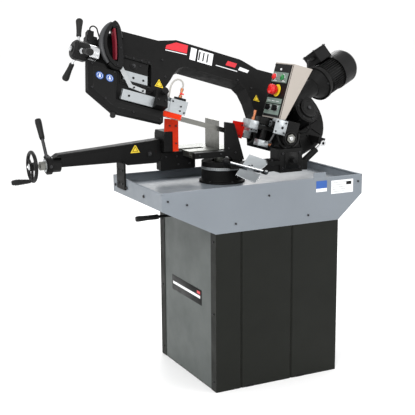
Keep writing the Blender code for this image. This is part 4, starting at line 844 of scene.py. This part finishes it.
def bow_dress():
    red = Kit("bow_stripe_red", "bow", "decal_red", WHEELS, bevel=0.0001)
    red.plate([(-0.545, 0.285), (-0.540, 0.303), (-0.494, 0.330), (-0.436, 0.333), (-0.442, 0.292)],
              *STICKER)
    red.plate([(-0.250, 0.292), (-0.238, 0.316), (-0.190, 0.316), (-0.202, 0.292)], *STICKER)
    red.done()
    white = Kit("bow_stripe_white", "bow", "white", WHEELS, bevel=0.0001)
    white.plate([(-0.430, 0.268), (-0.420, 0.328), (-0.392, 0.328), (-0.402, 0.268)], *STICKER)
    white.plate([(-0.392, 0.268), (-0.382, 0.328), (-0.310, 0.328), (-0.320, 0.268)], *STICKER)
    white.plate([(-0.186, 0.286), (-0.176, 0.304), (-0.128, 0.300), (-0.138, 0.284)], *STICKER)
    white.done()
    thin = Kit("bow_stripe_thin", "bow", "white", WHEELS)
    thin.plate([(-0.545, 0.2770), (-0.545, 0.2805), (-0.442, 0.2880), (-0.442, 0.2845)], *STICKER)
    thin.plate([(-0.300, 0.2750), (-0.298, 0.2790), (-0.190, 0.2790), (-0.192, 0.2750)], *STICKER)
    thin.done()
    dark = Kit("bow_stripe_dark", "bow", "smooth_black", WHEELS)
    for number in range(3):
        s = -0.388 + number * 0.020
        dark.plate([(s, 0.276), (s + 0.008, 0.320), (s + 0.0145, 0.320), (s + 0.0065, 0.276)],
                   FRONT + 0.0004, FRONT + 0.0008)
    dark.done()

    for name, (s, h) in (("bow_triangle_left", (-0.573, 0.112)),
                         ("bow_triangle_right", (-0.095, 0.172))):
        size = 0.020 if "left" in name else 0.016
        yellow = Kit(name, "bow", "yellow", WHEELS, bevel=0.0001)
        yellow.plate([(s, h + size), (s - size, h - size * 0.85), (s + size, h - size * 0.85)],
                     FRONT - 0.0002, FRONT + 0.0007)
        yellow.done()
        mark = Kit(name + "_border", "bow", "smooth_black", WHEELS)
        mark.plate([(s, h + size * 0.72), (s - size * 0.72, h - size * 0.66),
                    (s + size * 0.72, h - size * 0.66)], FRONT + 0.0005, FRONT + 0.0009)
        mark.done()
        middle = Kit(name + "_middle", "bow", "yellow", WHEELS)
        middle.plate([(s, h + size * 0.52), (s - size * 0.54, h - size * 0.55),
                      (s + size * 0.54, h - size * 0.55)], FRONT + 0.0007, FRONT + 0.0011)
        middle.done()

    rim = Kit("window_rim", "bow", "cast_black", WHEELS, bevel=0.0012)
    low_s, high_s, low_h, high_h = -0.745, -0.610, 0.070, 0.200
    for a, b in (((low_s - 0.007, low_h - 0.007), (high_s + 0.007, low_h)),
                 ((low_s - 0.007, high_h), (high_s + 0.007, high_h + 0.007)),
                 ((low_s - 0.007, low_h), (low_s, high_h)), ((high_s, low_h), (high_s + 0.007, high_h))):
        rim.block((*a, FRONT - 0.001), (*b, FRONT + 0.0022))
    rim.done()
    rails = Kit("tension_slide_rails", "bow", "smooth_black", WHEELS, bevel=0.0005)
    rails.block((-0.7445, 0.186, 0.0388), (-0.6105, 0.199, 0.0430))
    rails.block((-0.7445, 0.0705, 0.0388), (-0.6105, 0.083, 0.0430))
    rails.done()
    screws = Kit("tension_rail_screws", "bow", "dark_steel", WHEELS)
    for s in (-0.728, -0.693, -0.656, -0.624):
        screws.socket_screw((s, 0.1925, 0.0430), (0, 0, 1), 0.0040)
        screws.socket_screw((s, 0.0768, 0.0430), (0, 0, 1), 0.0040)
    screws.done()
    nut = Kit("tension_slide_details", "tension_block", "smooth_black", WHEELS)
    nut.rod((-0.690, 0.160, 0.0384), (-0.690, 0.160, 0.0402), 0.017, sides=32)
    nut.rod((-0.691, 0.104, 0.0384), (-0.691, 0.104, 0.0425), 0.0050, sides=16)
    nut.rod((-0.646, 0.104, 0.0384), (-0.646, 0.104, 0.0425), 0.0050, sides=16)
    nut.block((-0.7365, 0.131, 0.0384), (-0.6265, 0.134, 0.0408))
    nut.done()
    ground = Kit("tension_slide_plate", "tension_block", "pale_metal", WHEELS, bevel=0.0006)
    ground.block((-0.7360, 0.0865, 0.0384), (-0.6270, 0.1290, 0.0412))
    ground.done()
    axle = Kit("idle_axle_bolt", "tension_block", "dark_steel", WHEELS)
    axle.hex_bolt((-0.690, 0.160, 0.0402), (0, 0, 1), 0.0058)
    axle.socket_screw((-0.660, 0.168, 0.0388), (0, 0, 1), 0.0036)
    axle.done()

    covers = Kit("bow_cover_screws", "bow", "dark_steel", WHEELS)
    spots = [(-0.838, 0.190), (-0.800, 0.268), (-0.560, 0.225), (-0.545, 0.150), (-0.190, 0.235),
             (-0.120, 0.215), (-0.095, 0.020)]
    spots += [(0.232, 0.050), (0.232, 0.215)]
    for s, h in spots:
        covers.socket_screw((s, h, FRONT + 0.0003), (0, 0, 1), 0.0040)
    covers.done()
    back = Kit("bow_back_cover_screws", "bow", "dark_steel", WHEELS)
    back_spots = [(-0.838, 0.190), (-0.780, 0.030), (-0.700, 0.285), (-0.560, 0.325), (-0.520, 0.150),
                  (-0.350, 0.330), (-0.200, 0.330)]
    back_spots += [(-0.350, 0.236), (-0.110, 0.260), (0.020, 0.300), (0.150, 0.280), (0.245, 0.160),
                   (0.220, 0.030), (0.080, -0.015), (-0.080, -0.010)]
    for s, h in back_spots:
        back.socket_screw((s, h, -0.0296), (0, 0, -1), 0.0042)
    back.done()
    ridge = Kit("bow_back_cover_ribs", "bow", "cast_black", WHEELS, bevel=0.0010)
    ridge.turned([(0.100, 0), (0.100, 0.0035), (0.106, 0.0035), (0.106, 0), (0.100, 0)],
                 (-0.700, 0.130, -0.0291), (0, 0, -1), sides=64)
    ridge.turned([(0.100, 0), (0.100, 0.0035), (0.106, 0.0035), (0.106, 0), (0.100, 0)],
                 (*DRIVE_CENTRE, -0.0291), (0, 0, -1), sides=64)
    ridge.block((-0.560, 0.262, -0.0325), (-0.040, 0.268, -0.0290))
    ridge.block((-0.560, 0.306, -0.0325), (-0.100, 0.312, -0.0290))
    for s in (-0.82, -0.58):
        ridge.rod((s, 0.255, -0.0290), (s, 0.255, -0.0390), 0.007, sides=20)
    ridge.done()
    hinge = Kit("bow_back_cover_latches", "bow", "dark_steel", WHEELS, bevel=0.0004)
    for s in (-0.62, -0.28, 0.02):
        hinge.block((s - 0.014, 0.318, -0.0335), (s + 0.014, 0.330, -0.0288), rounding=0.001)
        hinge.rod((s - 0.012, 0.333, -0.0305), (s + 0.012, 0.333, -0.0305), 0.003, sides=16)
    hinge.done()

    raised = Kit("bow_cast_ridges", "bow", "cast_black", WHEELS, bevel=0.0012)
    raised.turned([(0.084, 0), (0.084, 0.0040), (0.092, 0.0040), (0.092, 0), (0.084, 0)],
                  (*DRIVE_CENTRE, FRONT - 0.0005), (0, 0, 1), sides=72)
    for degrees in (100, 130, 160, 190, 220, 250, 280, 310, 340):
        angle = radians(degrees)
        turn = Matrix.Rotation(angle, 4, "Z")
        centre = Vector((DRIVE_CENTRE[0] + 0.119 * cos(angle), DRIVE_CENTRE[1] + 0.119 * sin(angle),
                         FRONT + 0.0015))
        half = Vector((0.0270, 0.0025, 0.0020))
        raised.block(centre - half, centre + half, turn=turn)
    raised.done()


def guard_dress():
    face = 0.0643
    blue = Kit("head_guard_discs", "bow", "blue", WHEELS, bevel=0.0002)
    for s, h in ((-0.849, 0.060), (-0.806, 0.060)):
        blue.rod((s, h, face - 0.0002), (s, h, face + 0.0007), 0.0165, sides=48)
    blue.done()
    white = Kit("head_guard_disc_marks", "bow", "white", WHEELS)
    for s, h in ((-0.849, 0.060), (-0.806, 0.060)):
        ring = [(0.0112, 0.0), (0.0124, 0.0), (0.0124, 0.0004), (0.0112, 0.0004), (0.0112, 0.0)]
        white.turned(ring, (s, h, face + 0.0005), (0, 0, 1), sides=40)
        white.rod((s, h + 0.0045, face + 0.0005), (s, h + 0.0045, face + 0.0010), 0.0030, sides=20)
        white.block((s - 0.0042, h - 0.0062, face + 0.0005), (s + 0.0042, h + 0.0006, face + 0.0010))
    white.done()
    panel = Kit("head_guard_panel", "bow", "smooth_black", WHEELS, bevel=0.0010)
    panel.plate([(-0.878, 0.094), (-0.874, -0.004), (-0.782, -0.060), (-0.580, -0.056), (-0.580, -0.040),
                 (-0.782, -0.040),
                 (-0.790, 0.084), (-0.836, 0.100)], face - 0.0005, face + 0.0003)
    panel.done()
    screws = Kit("head_guard_screws", "bow", "dark_steel", WHEELS)
    for s, h in ((-0.884, 0.106), (-0.880, 0.000), (-0.786, 0.092), (-0.578, -0.062), (-0.700, -0.063),
                 (-0.822, -0.034)):
        screws.socket_screw((s, h, face), (0, 0, 1), 0.0040)
    screws.done()
    foot = Kit("head_guard_rubber_foot", "bow", "rubber", WHEELS)
    foot.turned([(0, 0.0), (0.0090, 0.0), (0.0105, 0.006), (0.0115, 0.016), (0.0090, 0.020), (0, 0.020)],
                (-0.783, -0.080, 0.052), (0, -1, 0), sides=28)
    foot.done()


def knob_dress():
    origin = Vector((-0.930, 0.165, 0.031))
    hub = Kit("tension_hub", "tension_knob_body", "smooth_black", WHEELS, bevel=0.0012)
    profile = [(0, 0.000), (0.013, 0.000), (0.016, 0.004), (0.030, 0.004), (0.0385, 0.012),
               (0.040, 0.020), (0.040, 0.056),
               (0.0385, 0.064), (0.034, 0.067), (0, 0.067)]
    hub.turned(profile, origin + Vector((-0.031, 0, 0)), (1, 0, 0), sides=12)
    hub.done(sharp=18)
    chrome = Kit("tension_collar", "tension_knob_body", "bright_steel", WHEELS)
    collar = [(0, 0.0), (0.0340, 0.0)]
    for number in range(6):
        start = 0.001 + number * 0.0066
        collar += [(0.0368, start), (0.0368, start + 0.0048), (0.0352, start + 0.0054)]
    collar += [(0.0352, 0.0408), (0, 0.0408)]
    chrome.turned(collar, origin + Vector((0.0365, 0, 0)), (1, 0, 0), sides=48)
    chrome.rod((-0.8530, 0.165, 0.031), (-0.7388, 0.165, 0.031), 0.0060, sides=20)
    chrome.hex_bolt(origin + Vector((-0.031, 0, 0)), (-1, 0, 0), 0.0065)
    grips = Kit("tension_grips", "tension_knob_body", "rubber", WHEELS)
    for degrees in (0, 120, 240):
        angle = radians(degrees)
        out = Vector((0, cos(angle), sin(angle)))
        chrome.rod(origin + out * 0.037, origin + out * 0.0655, 0.0052, sides=20)
        chrome.hex_bolt(origin + out * 0.0395, out, 0.0070)
        profile = [(0, 0.0), (0.0088, 0.0), (0.0104, 0.003), (0.0100, 0.014), (0.0108, 0.030),
                   (0.0128, 0.052), (0.0145, 0.066),
                   (0.0143, 0.073), (0.0115, 0.0775), (0.0, 0.079)]
        grips.turned(profile, origin + out * 0.0640, out, sides=28)
    chrome.done(replaces=("tension_knob",))
    grips.done()
    switch = Kit("tension_switch_fittings", "bow", "dark_steel", WHEELS)
    switch.rod((-0.879, 0.2725, 0.020), (-0.879, 0.279, 0.020), 0.0045, sides=20)
    switch.socket_screw((-0.890, 0.2250, 0.0362), (0, 0, 1), 0.0032)
    switch.socket_screw((-0.862, 0.2340, 0.0362), (0, 0, 1), 0.0032)
    switch.done()
    loop = Kit("tension_switch_cable", "bow", "rubber", WHEELS)
    loop.tube([(-0.879, 0.272, 0.020), (-0.878, 0.292, 0.020), (-0.866, 0.302, 0.022),
               (-0.852, 0.296, 0.024), (-0.846, 0.276, 0.026),
               (-0.840, 0.252, 0.030), (-0.834, 0.236, 0.0385)], 0.0030, sides=12)
    loop.done()


def handle_dress():
    # Grey tube along the handle's rounded back edge: a painted highlight standing in for the light caught by
    # that rim.
    grey = Kit("handle_back_painted_highlight", "bow", "highlight_and_grille_grey", WHEELS)
    back = [(-0.8050, 0.312, 0.0635), (-0.8220, 0.292, 0.0635), (-0.8375, 0.262, 0.0635),
            (-0.8455, 0.228, 0.0635),
            (-0.8430, 0.190, 0.0635), (-0.8310, 0.153, 0.0635), (-0.8130, 0.127, 0.0635)]
    grey.tube(back, 0.0105, sides=20, radii=lambda t: 0.72 + 0.42 * sin(pi * min(1, max(0, t))))
    grey.done(sharp=60)
    rounded = Kit("handle_ends", "bow", "smooth_black", WHEELS)
    rounded.tube([(-0.797, 0.316, 0.0635), (-0.785, 0.306, 0.0635), (-0.776, 0.284, 0.0635),
                  (-0.768, 0.250, 0.0635)], 0.0150, sides=20)
    rounded.tube([(-0.808, 0.128, 0.0635), (-0.790, 0.117, 0.0635), (-0.770, 0.118, 0.0635),
                  (-0.762, 0.134, 0.0635), (-0.761, 0.156, 0.0635)],
                 0.0132, sides=20)
    rounded.done(sharp=60)
    screws = Kit("handle_screws", "bow", "dark_steel", WHEELS)
    for s, h in ((-0.789, 0.297), (-0.782, 0.121), (-0.768, 0.200)):
        screws.socket_screw((s, h, 0.0800), (0, 0, 1), 0.0036)
    for s, h in ((-0.758, 0.136), (-0.650, 0.053), (-0.690, 0.058)):
        screws.socket_screw((s, h, 0.0465), (0, 0, 1), 0.0040)
    screws.done()


def guide_dress():
    # Black disc painted as the shade inside the guide arm's recess.
    opening_shade = Kit("guide_arm_recess_shade", "guide", "smooth_black", BOW)
    opening_shade.rod((-0.722, -0.0581, 0.001), (-0.722, -0.0576, 0.001), 0.0050, sides=24)
    opening_shade.done()
    end = Kit("guide_arm_end_screw", "guide", "dark_steel", BOW)
    end.socket_screw((-0.7522, -0.049, 0.001), (-1, 0, 0), 0.0040)
    for x, z in ((-0.490, 0.012), (-0.490, -0.006), (-0.470, -0.010), (-0.530, 0.026)):
        end.socket_screw((x, -0.0583, z), (0, -1, 0), 0.0036)
    end.done()
    clamp = Kit("guide_hose_clamp", "guide", "smooth_black", BOW, bevel=0.0008)
    clamp.block((-0.512, -0.050, 0.0370), (-0.470, -0.018, 0.0470), rounding=0.0015)
    clamp.done()
    fitting = Kit("guide_coolant_fitting", "guide", "copper", BOW, bevel=0.0003)
    fitting.rod((-0.492, -0.034, 0.0465), (-0.492, -0.034, 0.056), 0.0075, sides=6)
    fitting.rod((-0.492, -0.034, 0.055), (-0.492, -0.034, 0.078), 0.0050, sides=20)
    fitting.rod((-0.492, -0.034, 0.074), (-0.492, -0.034, 0.086), 0.0065, sides=6)
    fitting.done()
    nozzle = Kit("guide_brass_nozzle", "guide", "brass", BOW)
    nozzle.rod((-0.482, -0.050, -0.020), (-0.482, -0.050, -0.030), 0.0062, sides=6)
    nozzle.rod((-0.482, -0.050, -0.028), (-0.482, -0.050, -0.047), 0.0038, end_radius=0.0025, sides=20)
    nozzle.done()
    valve = Kit("guide_valve_lever", "guide", "button_red", BOW, bevel=0.0004)
    valve.block((-0.5010, -0.0440, 0.0600), (-0.4830, -0.0395, 0.0665), rounding=0.001)
    valve.done()
    knob = Kit("guide_clamp_handle", "bow", "plastic_black", WHEELS)
    knob.turned([(0, 0.030), (0.0125, 0.030), (0.0150, 0.027), (0.0150, 0.012), (0.0120, 0.009),
                 (0.0085, 0.008), (0.0085, 0.0), (0, 0.0)],
                (-0.586, 0.038, 0.0942), (0, 0, 1), sides=8)
    knob.done(sharp=20)
    clamp_screws = Kit("guide_clamp_screws", "bow", "dark_steel", WHEELS)
    for s, h in ((-0.602, 0.008), (-0.572, 0.008)):
        clamp_screws.socket_screw((s, h, 0.0943), (0, 0, 1), 0.0042)
    clamp_screws.done()
    bearings = Kit("guide_bearings", "guide", "bright_steel", BOW)
    for y in (-0.0125, 0.0125):
        bearings.turned([(0.003, -0.004), (0.0085, -0.004), (0.0092, -0.003), (0.0092, 0.003),
                         (0.0085, 0.004), (0.003, 0.004), (0.003, -0.004)],
                        (-0.4600, y * 0.95, -0.033), (0, 0, 1), sides=28)
    bearings.done()
    right = Kit("right_guide_screws", "bow", "dark_steel", BOW)
    for x, z in ((-0.142, 0.030), (-0.118, 0.030), (-0.142, -0.004), (-0.118, -0.004)):
        right.socket_screw((x, -0.0552, z), (0, -1, 0), 0.0036)
    for x, z in ((-0.095, 0.046), (-0.060, 0.046), (-0.060, 0.022)):
        right.socket_screw((x, -0.0551, z), (0, -1, 0), 0.0034)
    right.rod((-0.074, -0.0553, 0.032), (-0.074, -0.0546, 0.032), 0.0052, sides=20)
    for z in (0.005, -0.040):
        right.socket_screw((-0.166, -0.0096, z), (0, -1, 0), 0.0032)
    right.done()


def blade_dress():
    teeth = Kit("blade_teeth", "bow", "steel", BOW)
    low, high, pitch = -0.458, -0.152, 0.0042
    edge = -0.0450
    x = low
    while x < high:
        side = 0.0002 if int(round((x - low) / pitch)) % 2 else -0.0002
        teeth.plate([(x, edge + 0.0006), (x + pitch * 0.95, edge + 0.0006),
                     (x + pitch * 0.30, edge - 0.0016)],
                    side - 0.00045, side + 0.00045, plane="XZ")
        x += pitch
    teeth.done()


def motor_dress():
    body = Kit("motor_fins", "bow", "smooth_black", MOTOR, bevel=0.0005)
    length = 0.130
    body.turned([(0.0105, 0.0), (0.0735, 0.0), (0.0735, 0.010), (0.0700, 0.014), (0.0665, 0.016),
                 (0.0665, length), (0.0105, length), (0.0105, 0.0)],
                (-length, 0, 0), (1, 0, 0), sides=64)
    count = 44
    for number in range(count):
        angle = 2 * pi * number / count
        facing = cos(angle)
        if facing > 0.80:
            continue
        turn = Matrix.Rotation(angle, 4, "X")
        fin = bmesh.new()
        bmesh.ops.create_cube(fin, size=1.0)
        bmesh.ops.scale(fin, vec=(length - 0.018, 0.0088, 0.0020), verts=fin.verts)
        place = turn @ Matrix.Translation((-length / 2 + 0.0088, 0.0698, 0))
        body.absorb(fin, place)
    body.done(replaces=("motor_body",), sharp=30)
    bolts = Kit("motor_flange_bolts", "bow", "dark_steel", MOTOR)
    for degrees in (25, 115, 205, 295):
        angle = radians(degrees)
        spot = Vector((-length - 0.0005, 0.0668 * cos(angle), 0.0668 * sin(angle)))
        bolts.hex_bolt(spot + Vector((-0.0150, 0, 0)), (-1, 0, 0), 0.0048)
    bolts.done()
    grille = Kit("cowl_grille", "bow", "highlight_and_grille_grey", MOTOR)
    face = 0.0850
    for radius in (0.018, 0.026, 0.034, 0.042, 0.050, 0.058):
        grille.turned([(radius - 0.0014, 0.0), (radius - 0.0012, 0.0020), (radius + 0.0012, 0.0020),
                       (radius + 0.0014, 0.0), (radius - 0.0014, 0.0)],
                      (face - 0.0004, 0, 0), (1, 0, 0), sides=56)
    for degrees in range(0, 360, 45):
        angle = radians(degrees)
        turn = Matrix.Rotation(angle, 4, "X")
        spoke = bmesh.new()
        bmesh.ops.create_cube(spoke, size=1.0)
        bmesh.ops.scale(spoke, vec=(0.0030, 0.0480, 0.0030), verts=spoke.verts)
        grille.absorb(spoke, turn @ Matrix.Translation((face + 0.0006, 0.0360, 0)))
    grille.done()
    cap = Kit("cowl_screws", "bow", "dark_steel", MOTOR)
    for degrees in (45, 135, 225, 315):
        angle = radians(degrees)
        out = Vector((0, cos(angle), sin(angle)))
        cap.socket_screw(Vector((-0.012, 0, 0)) + out * 0.0787, out, 0.0030)
    cap.done()
    lid = Kit("terminal_lid", "bow", "plastic_black", MOTOR, bevel=0.0012)
    centre = Vector((-0.038, 0.097, 0))
    lid.block(centre + Vector((-0.0450, 0.0265, -0.0420)), centre + Vector((0.0450, 0.0330, 0.0420)),
              rounding=0.003, segments=3)
    lid.done()
    lid_screws = Kit("terminal_lid_screws", "bow", "dark_steel", MOTOR)
    for x in (-0.037, 0.037):
        for z in (-0.034, 0.034):
            lid_screws.socket_screw(centre + Vector((x, 0.0330, z)), (0, 1, 0), 0.0030)
    lid_screws.done()
    gland = Kit("terminal_gland", "bow", "rubber", MOTOR)
    gland.rod(centre + Vector((-0.0430, 0.004, 0.012)), centre + Vector((-0.0560, 0.004, 0.012)), 0.0110,
              sides=6)
    gland.rod(centre + Vector((-0.0560, 0.004, 0.012)), centre + Vector((-0.0660, 0.004, 0.012)), 0.0085,
              end_radius=0.0060, sides=24)
    gland.done()

    case = Kit("gearbox_cover", "bow", "smooth_black", WHEELS, bevel=0.0010)
    case.turned([(0.0, 0.1325), (0.0, 0.1468), (0.030, 0.1468), (0.033, 0.1445), (0.0405, 0.1440),
                 (0.0430, 0.1350), (0.0540, 0.1345),
                 (0.0560, 0.1322), (0.0, 0.1322)][1:], (*DRIVE_CENTRE, 0), (0, 0, 1), sides=48)
    for degrees in range(15, 375, 45):
        angle = radians(degrees)
        turn = Matrix.Rotation(angle, 4, "Z")
        spot = Vector((DRIVE_CENTRE[0] + 0.0645 * cos(angle), DRIVE_CENTRE[1] + 0.0645 * sin(angle),
                       0.088))
        half = Vector((0.0040, 0.0022, 0.034))
        case.block(spot - half, spot + half, turn=turn)
    case.done()
    cover = Kit("gearbox_bolts", "bow", "dark_steel", WHEELS)
    for degrees in range(0, 360, 60):
        angle = radians(degrees)
        cover.socket_screw((DRIVE_CENTRE[0] + 0.0490 * cos(angle), DRIVE_CENTRE[1] + 0.0490 * sin(angle),
                            0.1347), (0, 0, 1), 0.0036)
        cover.socket_screw((DRIVE_CENTRE[0] + 0.0705 * cos(angle + 0.4),
                            DRIVE_CENTRE[1] + 0.0705 * sin(angle + 0.4), 0.0543), (0, 0, 1), 0.0044)
    cover.done()
    plug = Kit("gearbox_plug", "bow", "dark_steel", WHEELS)
    plug.rod((*DRIVE_CENTRE, 0.1460), (*DRIVE_CENTRE, 0.1515), 0.0085, sides=6)
    plug.done()


def panel_dress():
    face = -0.0752
    green = Kit("panel_labels", "bow", "panel_green", BOW, bevel=0.0002)
    green.block((face - 0.0007, -0.126, 0.218), (face + 0.0002, -0.006, 0.262))
    green.block((face - 0.0007, -0.126, 0.128), (face + 0.0002, -0.006, 0.150))
    green.block((face - 0.0007, -0.126, 0.080), (face + 0.0002, -0.006, 0.124))
    green.done()
    disc = Kit("panel_yellow_disc", "bow", "yellow", BOW)
    disc.rod((face + 0.0002, -0.068, 0.183), (face - 0.0010, -0.068, 0.183), 0.0265, sides=56)
    disc.done()
    bezels = Kit("panel_bezels", "bow", "bright_steel", BOW)
    for y, z, radius in ((-0.026, 0.240, 0.0124), (-0.094, 0.240, 0.0124), (-0.042, 0.108, 0.0104),
                         (-0.100, 0.108, 0.0104)):
        bezels.turned([(radius, -0.0002), (radius + 0.0036, -0.0002), (radius + 0.0032, 0.0030),
                       (radius + 0.0008, 0.0040), (radius, 0.0036), (radius, -0.0002)],
                      (face - 0.0005, y, z), (-1, 0, 0), sides=40)
    bezels.done()
    marks = Kit("panel_scale_marks", "bow", "white", BOW)
    for y in (-0.042, -0.100):
        for degrees in (45, 90, 135):
            angle = radians(degrees)
            spot = Vector((face - 0.0009, y + 0.0185 * cos(angle),
                           0.108 + 0.0135 * sin(angle)))
            half = Vector((0.0003, 0.0012, 0.0012))
            marks.block(spot - half, spot + half)
    for y in (-0.026, -0.060, -0.094):
        marks.block((face - 0.0011, y - 0.012, 0.1365), (face - 0.0006, y + 0.012, 0.1385))
    marks.block((face - 0.0011, -0.116, 0.2225), (face - 0.0006, -0.086, 0.2245))
    marks.block((face - 0.0011, -0.046, 0.2225), (face - 0.0006, -0.016, 0.2245))
    marks.done()
    screws = Kit("panel_screws", "bow", "dark_steel", BOW)
    for y in (-0.129, -0.008):
        for z in (0.075, 0.292):
            screws.socket_screw((face, y, z), (-1, 0, 0), 0.0030)
    screws.done()
    lamp = Kit("panel_lamp", "bow", "white", BOW)
    lamp.turned([(0, 0.0046), (0.0036, 0.0038), (0.0052, 0.0010), (0.0052, 0.0), (0, 0.0)],
                (face, -0.060, 0.274), (-1, 0, 0), sides=28)
    lamp.done()
    for name, y, colour in (("stop_button", -0.026, "button_red"),
                            ("start_button", -0.094, "button_green")):
        cap = Kit(name + "_cap", name, colour, BOW)
        profile = [(0, 0.0128), (0.0090, 0.0122), (0.0122, 0.0105), (0.0130, 0.0080), (0.0130, 0.0042),
                   (0, 0.0042)]
        cap.turned(profile, (face, y, 0.240), (-1, 0, 0), sides=40)
        cap.done()
    arrow = Kit("stop_button_ring", "emergency_stop", "button_red", BOW)
    arrow.turned([(0.0, 0.0385), (0.010, 0.0382), (0.0165, 0.0368), (0.0205, 0.0330), (0.0215, 0.0290),
                  (0.0215, 0.0180), (0.0190, 0.0140), (0.0, 0.0135)],
                 (-0.0752, -0.068, 0.183), (-1, 0, 0), sides=48)
    arrow.done()
    seam = Kit("control_box_seam", "bow", "smooth_black", BOW)
    seam.block((-0.0712, -0.1404, 0.0655), (-0.0692, -0.1398, 0.3005))
    seam.done()
    glands = Kit("control_box_glands", "bow", "rubber", BOW)
    for y in (-0.110, -0.078):
        glands.rod((-0.058, y, 0.0665), (-0.058, y, 0.056), 0.0095, sides=6)
        glands.rod((-0.058, y, 0.057), (-0.058, y, 0.047), 0.0075, end_radius=0.0055, sides=24)
    glands.done()


def pivot_dress():
    near = -0.145
    boss = Kit("pivot_cap", "bow", "smooth_black", BOW, bevel=0.0008)
    boss.turned([(0.0215, 0.0), (0.0300, 0.0), (0.0300, 0.0045), (0.0280, 0.0065), (0.0235, 0.0065),
                 (0.0215, 0.0050), (0.0215, 0.0)],
                (0, near + 0.0002, 0), (0, -1, 0), sides=48)
    boss.done()
    nut = Kit("pivot_nut", "bow", "bright_steel", BOW)
    nut.turned([(0, 0.014), (0.0080, 0.014), (0.0092, 0.0128), (0.0092, 0.0095), (0, 0.0095)],
               (0, near, 0), (0, -1, 0), sides=28)
    nut.done()
    plate = Kit("pivot_side_plate", "bow", "pale_metal", BOW, bevel=0.0006)
    plate.block((-0.0905, -0.149, 0.004), (-0.0310, -0.1455, 0.066), rounding=0.0008)
    plate.block((-0.0905, -0.1456, 0.052), (-0.0290, -0.118, 0.066), rounding=0.0008)
    plate.done()
    # Black disc painted as the shade inside the side plate's hole.
    hole_shade = Kit("pivot_side_plate_hole_shade", "bow", "smooth_black", BOW)
    hole_shade.rod((-0.052, -0.1494, 0.034), (-0.052, -0.1486, 0.034), 0.0062, sides=24)
    hole_shade.done()
    bolts = Kit("pivot_side_plate_bolts", "bow", "dark_steel", BOW)
    for x, z in ((-0.081, 0.014), (-0.081, 0.056), (-0.040, 0.056), (-0.040, 0.014)):
        bolts.socket_screw((x, -0.1492, z), (0, -1, 0), 0.0036)
    bolts.rod((-0.071, -0.132, 0.010), (-0.086, -0.132, -0.038), 0.0042, sides=20)
    bolts.hex_bolt((-0.086, -0.132, -0.036), (-0.3, 0, -0.95), 0.0060)
    bolts.done()
    block = Kit("limit_switch_block", "bow", "pale_metal", BOW, bevel=0.0010)
    block.block((-0.186, -0.106, 0.000), (-0.142, -0.0555, 0.036), rounding=0.0012)
    block.block((-0.130, -0.118, -0.062), (-0.080, -0.080, -0.036), rounding=0.0012)
    block.done()
    arm = Kit("limit_switch_arm", "bow", "smooth_black", BOW, bevel=0.0010)
    arm.block((-0.142, -0.104, 0.008), (-0.031, -0.092, 0.024), rounding=0.0010)
    arm.block((-0.116, -0.104, -0.040), (-0.094, -0.092, 0.010), rounding=0.0010)
    arm.block((-0.140, -0.110, 0.030), (-0.096, -0.060, 0.058), rounding=0.0020)
    arm.done()
    copper = Kit("coolant_manifold", "bow", "copper", BOW, bevel=0.0003)
    copper.rod((-0.164, -0.088, 0.036), (-0.164, -0.088, 0.048), 0.0078, sides=6)
    copper.rod((-0.164, -0.088, 0.047), (-0.164, -0.088, 0.070), 0.0052, sides=20)
    copper.rod((-0.164, -0.088, 0.066), (-0.164, -0.088, 0.078), 0.0068, sides=6)
    copper.rod((-0.078, -0.110, -0.046), (-0.066, -0.110, -0.048), 0.0062, sides=6)
    copper.done()


def hoses():
    """Hoses and cables, each held at both ends by its own body's fittings."""
    coolant = Kit("guide_coolant_hose", "guide", "hose_grey", BOW)
    coolant.tube([(-0.492, -0.034, 0.084), (-0.492, -0.034, 0.100), (-0.500, -0.031, 0.113),
                  (-0.516, -0.028, 0.117), (-0.532, -0.026, 0.106),
                  (-0.541, -0.027, 0.084), (-0.541, -0.029, 0.060), (-0.540, -0.031, 0.036)], 0.0036,
                  sides=14)
    coolant.done()
    cables = Kit("control_box_cables", "bow", "rubber", BOW)
    cables.tube([(-0.058, -0.110, 0.048), (-0.058, -0.110, 0.030), (-0.048, -0.116, 0.004),
                 (-0.028, -0.118, -0.028), (0.010, -0.112, -0.046),
                 (0.050, -0.100, -0.036), (0.078, -0.086, -0.006), (0.086, -0.066, 0.030)], 0.0052,
                 sides=14)
    cables.tube([(-0.058, -0.078, 0.048), (-0.060, -0.080, 0.034), (-0.075, -0.084, 0.022),
                 (-0.096, -0.086, 0.030)], 0.0046, sides=14)
    cables.done()
    motor = Kit("motor_cable", "bow", "rubber", WHEELS)
    motor_end = WHEELS.inverted() @ MOTOR @ Vector((-0.038 - 0.064, 0.101, 0.012))
    motor.tube([motor_end, motor_end + Vector((-0.016, -0.014, 0.002)), (0.140, 0.352, 0.108),
                (0.098, 0.330, 0.098), (0.062, 0.300, 0.084),
                (0.044, 0.266, 0.066), (0.040, 0.240, 0.048), (0.040, 0.226, 0.038)], 0.0056, sides=14)
    motor.done()


tray_dress()
cabinet_dress()
bed_dress()
vise_dress()
column_dress()
bow_dress()
guard_dress()
knob_dress()
handle_dress()
guide_dress()
blade_dress()
motor_dress()
panel_dress()
pivot_dress()
hoses()
